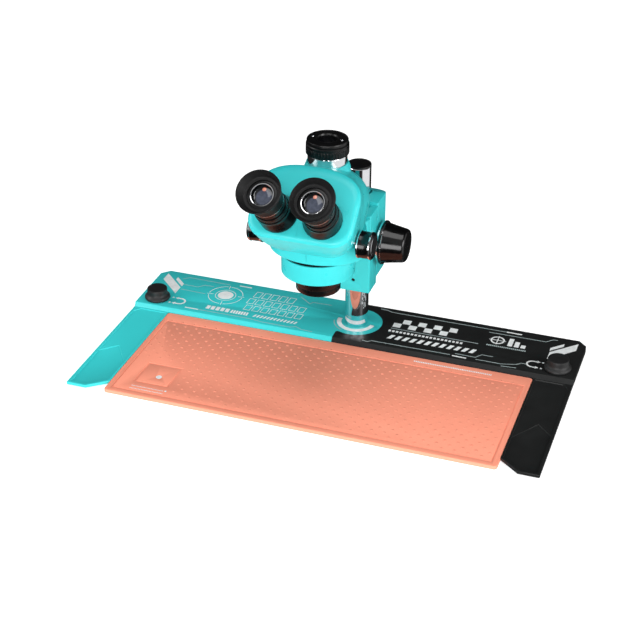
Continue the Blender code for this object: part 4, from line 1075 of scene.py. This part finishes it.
FLOOR_HALF = 9000
FLOOR_TOP = -0.05
floor = raw_object("floor", box((-FLOOR_HALF, FLOOR_HALF), (-FLOOR_HALF, FLOOR_HALF),
                                (FLOOR_TOP - 20, FLOOR_TOP)))
paper = Look("floor_paper", 0.9)
paper.colour(paper.mottled((0.90, 0.90, 0.90), 0.004, 3.0))
paper.bump(paper.noise(40.0, 2.0), 0.02, 0.0001)
paper.shader.inputs["Emission Color"].default_value = (1.0, 1.0, 1.0, 1.0)
paper.shader.inputs["Emission Strength"].default_value = 0.6
floor.data.materials.append(paper.made)
floor.visible_glossy = False    # polished metal mirrors the dark studio and not the white paper

world = bpy.data.worlds.new("studio")
bpy.context.scene.world = world
world.use_nodes = True
sky = Nodes(world.node_tree)
for node in list(sky.tree.nodes):
    sky.tree.nodes.remove(node)


def sky_band(value, low, high):
    return sky.spread(value, low, high, interpolation_type="SMOOTHSTEP")


def sky_patch(strength, *bands):
    level = strength
    for band in bands:
        level = sky.math("MULTIPLY", band, level)
    return level


# A dark studio with a broad grey wall in front, a bright one low on the right and a dimmer one on the left.
direction = sky.add("ShaderNodeTexCoord")
split = sky.add("ShaderNodeSeparateXYZ")
sky.link(direction.outputs["Generated"], split.inputs[0])
toward_x, toward_y, toward_z = split.outputs
patches = (
    sky_patch(0.42, sky_band(toward_y, 0.25, -0.45), sky_band(toward_z, -0.15, 0.10),
              sky_band(toward_z, 0.98, 0.80)),
    sky_patch(0.85, sky_band(toward_x, 0.60, 0.74), sky_band(toward_z, -0.70, -0.45),
              sky_band(toward_z, 0.60, 0.30)),
    sky_patch(0.45, sky_band(toward_x, -0.70, -0.90), sky_band(toward_z, 0.0, 0.15)),
    sky_patch(0.03, sky_band(toward_z, 0.75, 0.95)),
)
level = 0.02
for patch in patches:
    level = sky.math("ADD", patch, level)
studio = sky.add("ShaderNodeBackground")
sky.link(level, studio.inputs["Color"])
plain = sky.add("ShaderNodeBackground")
plain.inputs["Color"].default_value = (1, 1, 1, 1)
choice = sky.add("ShaderNodeMixShader")
seen = sky.add("ShaderNodeLightPath")
for source, into in ((seen.outputs["Is Camera Ray"], 0), (studio.outputs[0], 1), (plain.outputs[0], 2)):
    sky.link(source, choice.inputs[into])
out = sky.add("ShaderNodeOutputWorld")
sky.link(choice.outputs[0], out.inputs["Surface"])


def area_light(name, place, aim, size, power):
    data = bpy.data.lights.new(name, "AREA")
    data.shape = "RECTANGLE"
    data.size, data.size_y = size
    data.energy = power
    made = bpy.data.objects.new(name, data)
    made.location = place
    made.rotation_euler = (Vector(aim) - Vector(place)).to_track_quat("-Z", "Y").to_euler()
    bpy.context.scene.collection.objects.link(made)


area_light("front_box", (0.2, -2.6, 0.45), (0, -0.1, 0.2), (2.2, 1.2), 50)
area_light("left_box", (-2.2, -0.9, 1.3), (0, 0, 0.15), (1.2, 1.6), 22)
area_light("right_box", (2.3, -0.7, 1.0), (0, 0, 0.2), (1.2, 1.4), 34)
area_light("top_box", (0.2, -0.4, 2.4), (0, -0.1, 0.1), (1.6, 1.2), 18)

CAMERA_SPOT = Vector((535.9, -1733.4 + POST_Y, 1079.2))
CAMERA_TURN = (18.973, 30.203, 0.164)           # degrees of yaw, of looking down, and of roll
camera_data = bpy.data.cameras.new("camera")
camera = bpy.data.objects.new("camera", camera_data)
bpy.context.scene.collection.objects.link(camera)
camera.location = CAMERA_SPOT * MM
yaw, pitch, roll = (math.radians(angle) for angle in CAMERA_TURN)
camera.rotation_euler = (Matrix.Rotation(yaw, 3, "Z") @ Matrix.Rotation(math.pi / 2 - pitch, 3, "X")
                         @ Matrix.Rotation(roll, 3, "Z")).to_euler()
camera_data.sensor_width = 36.0
camera_data.lens = 86.78
camera_data.clip_end = 100.0
bpy.context.scene.camera = camera
bpy.context.scene.view_settings.view_transform = "Standard"
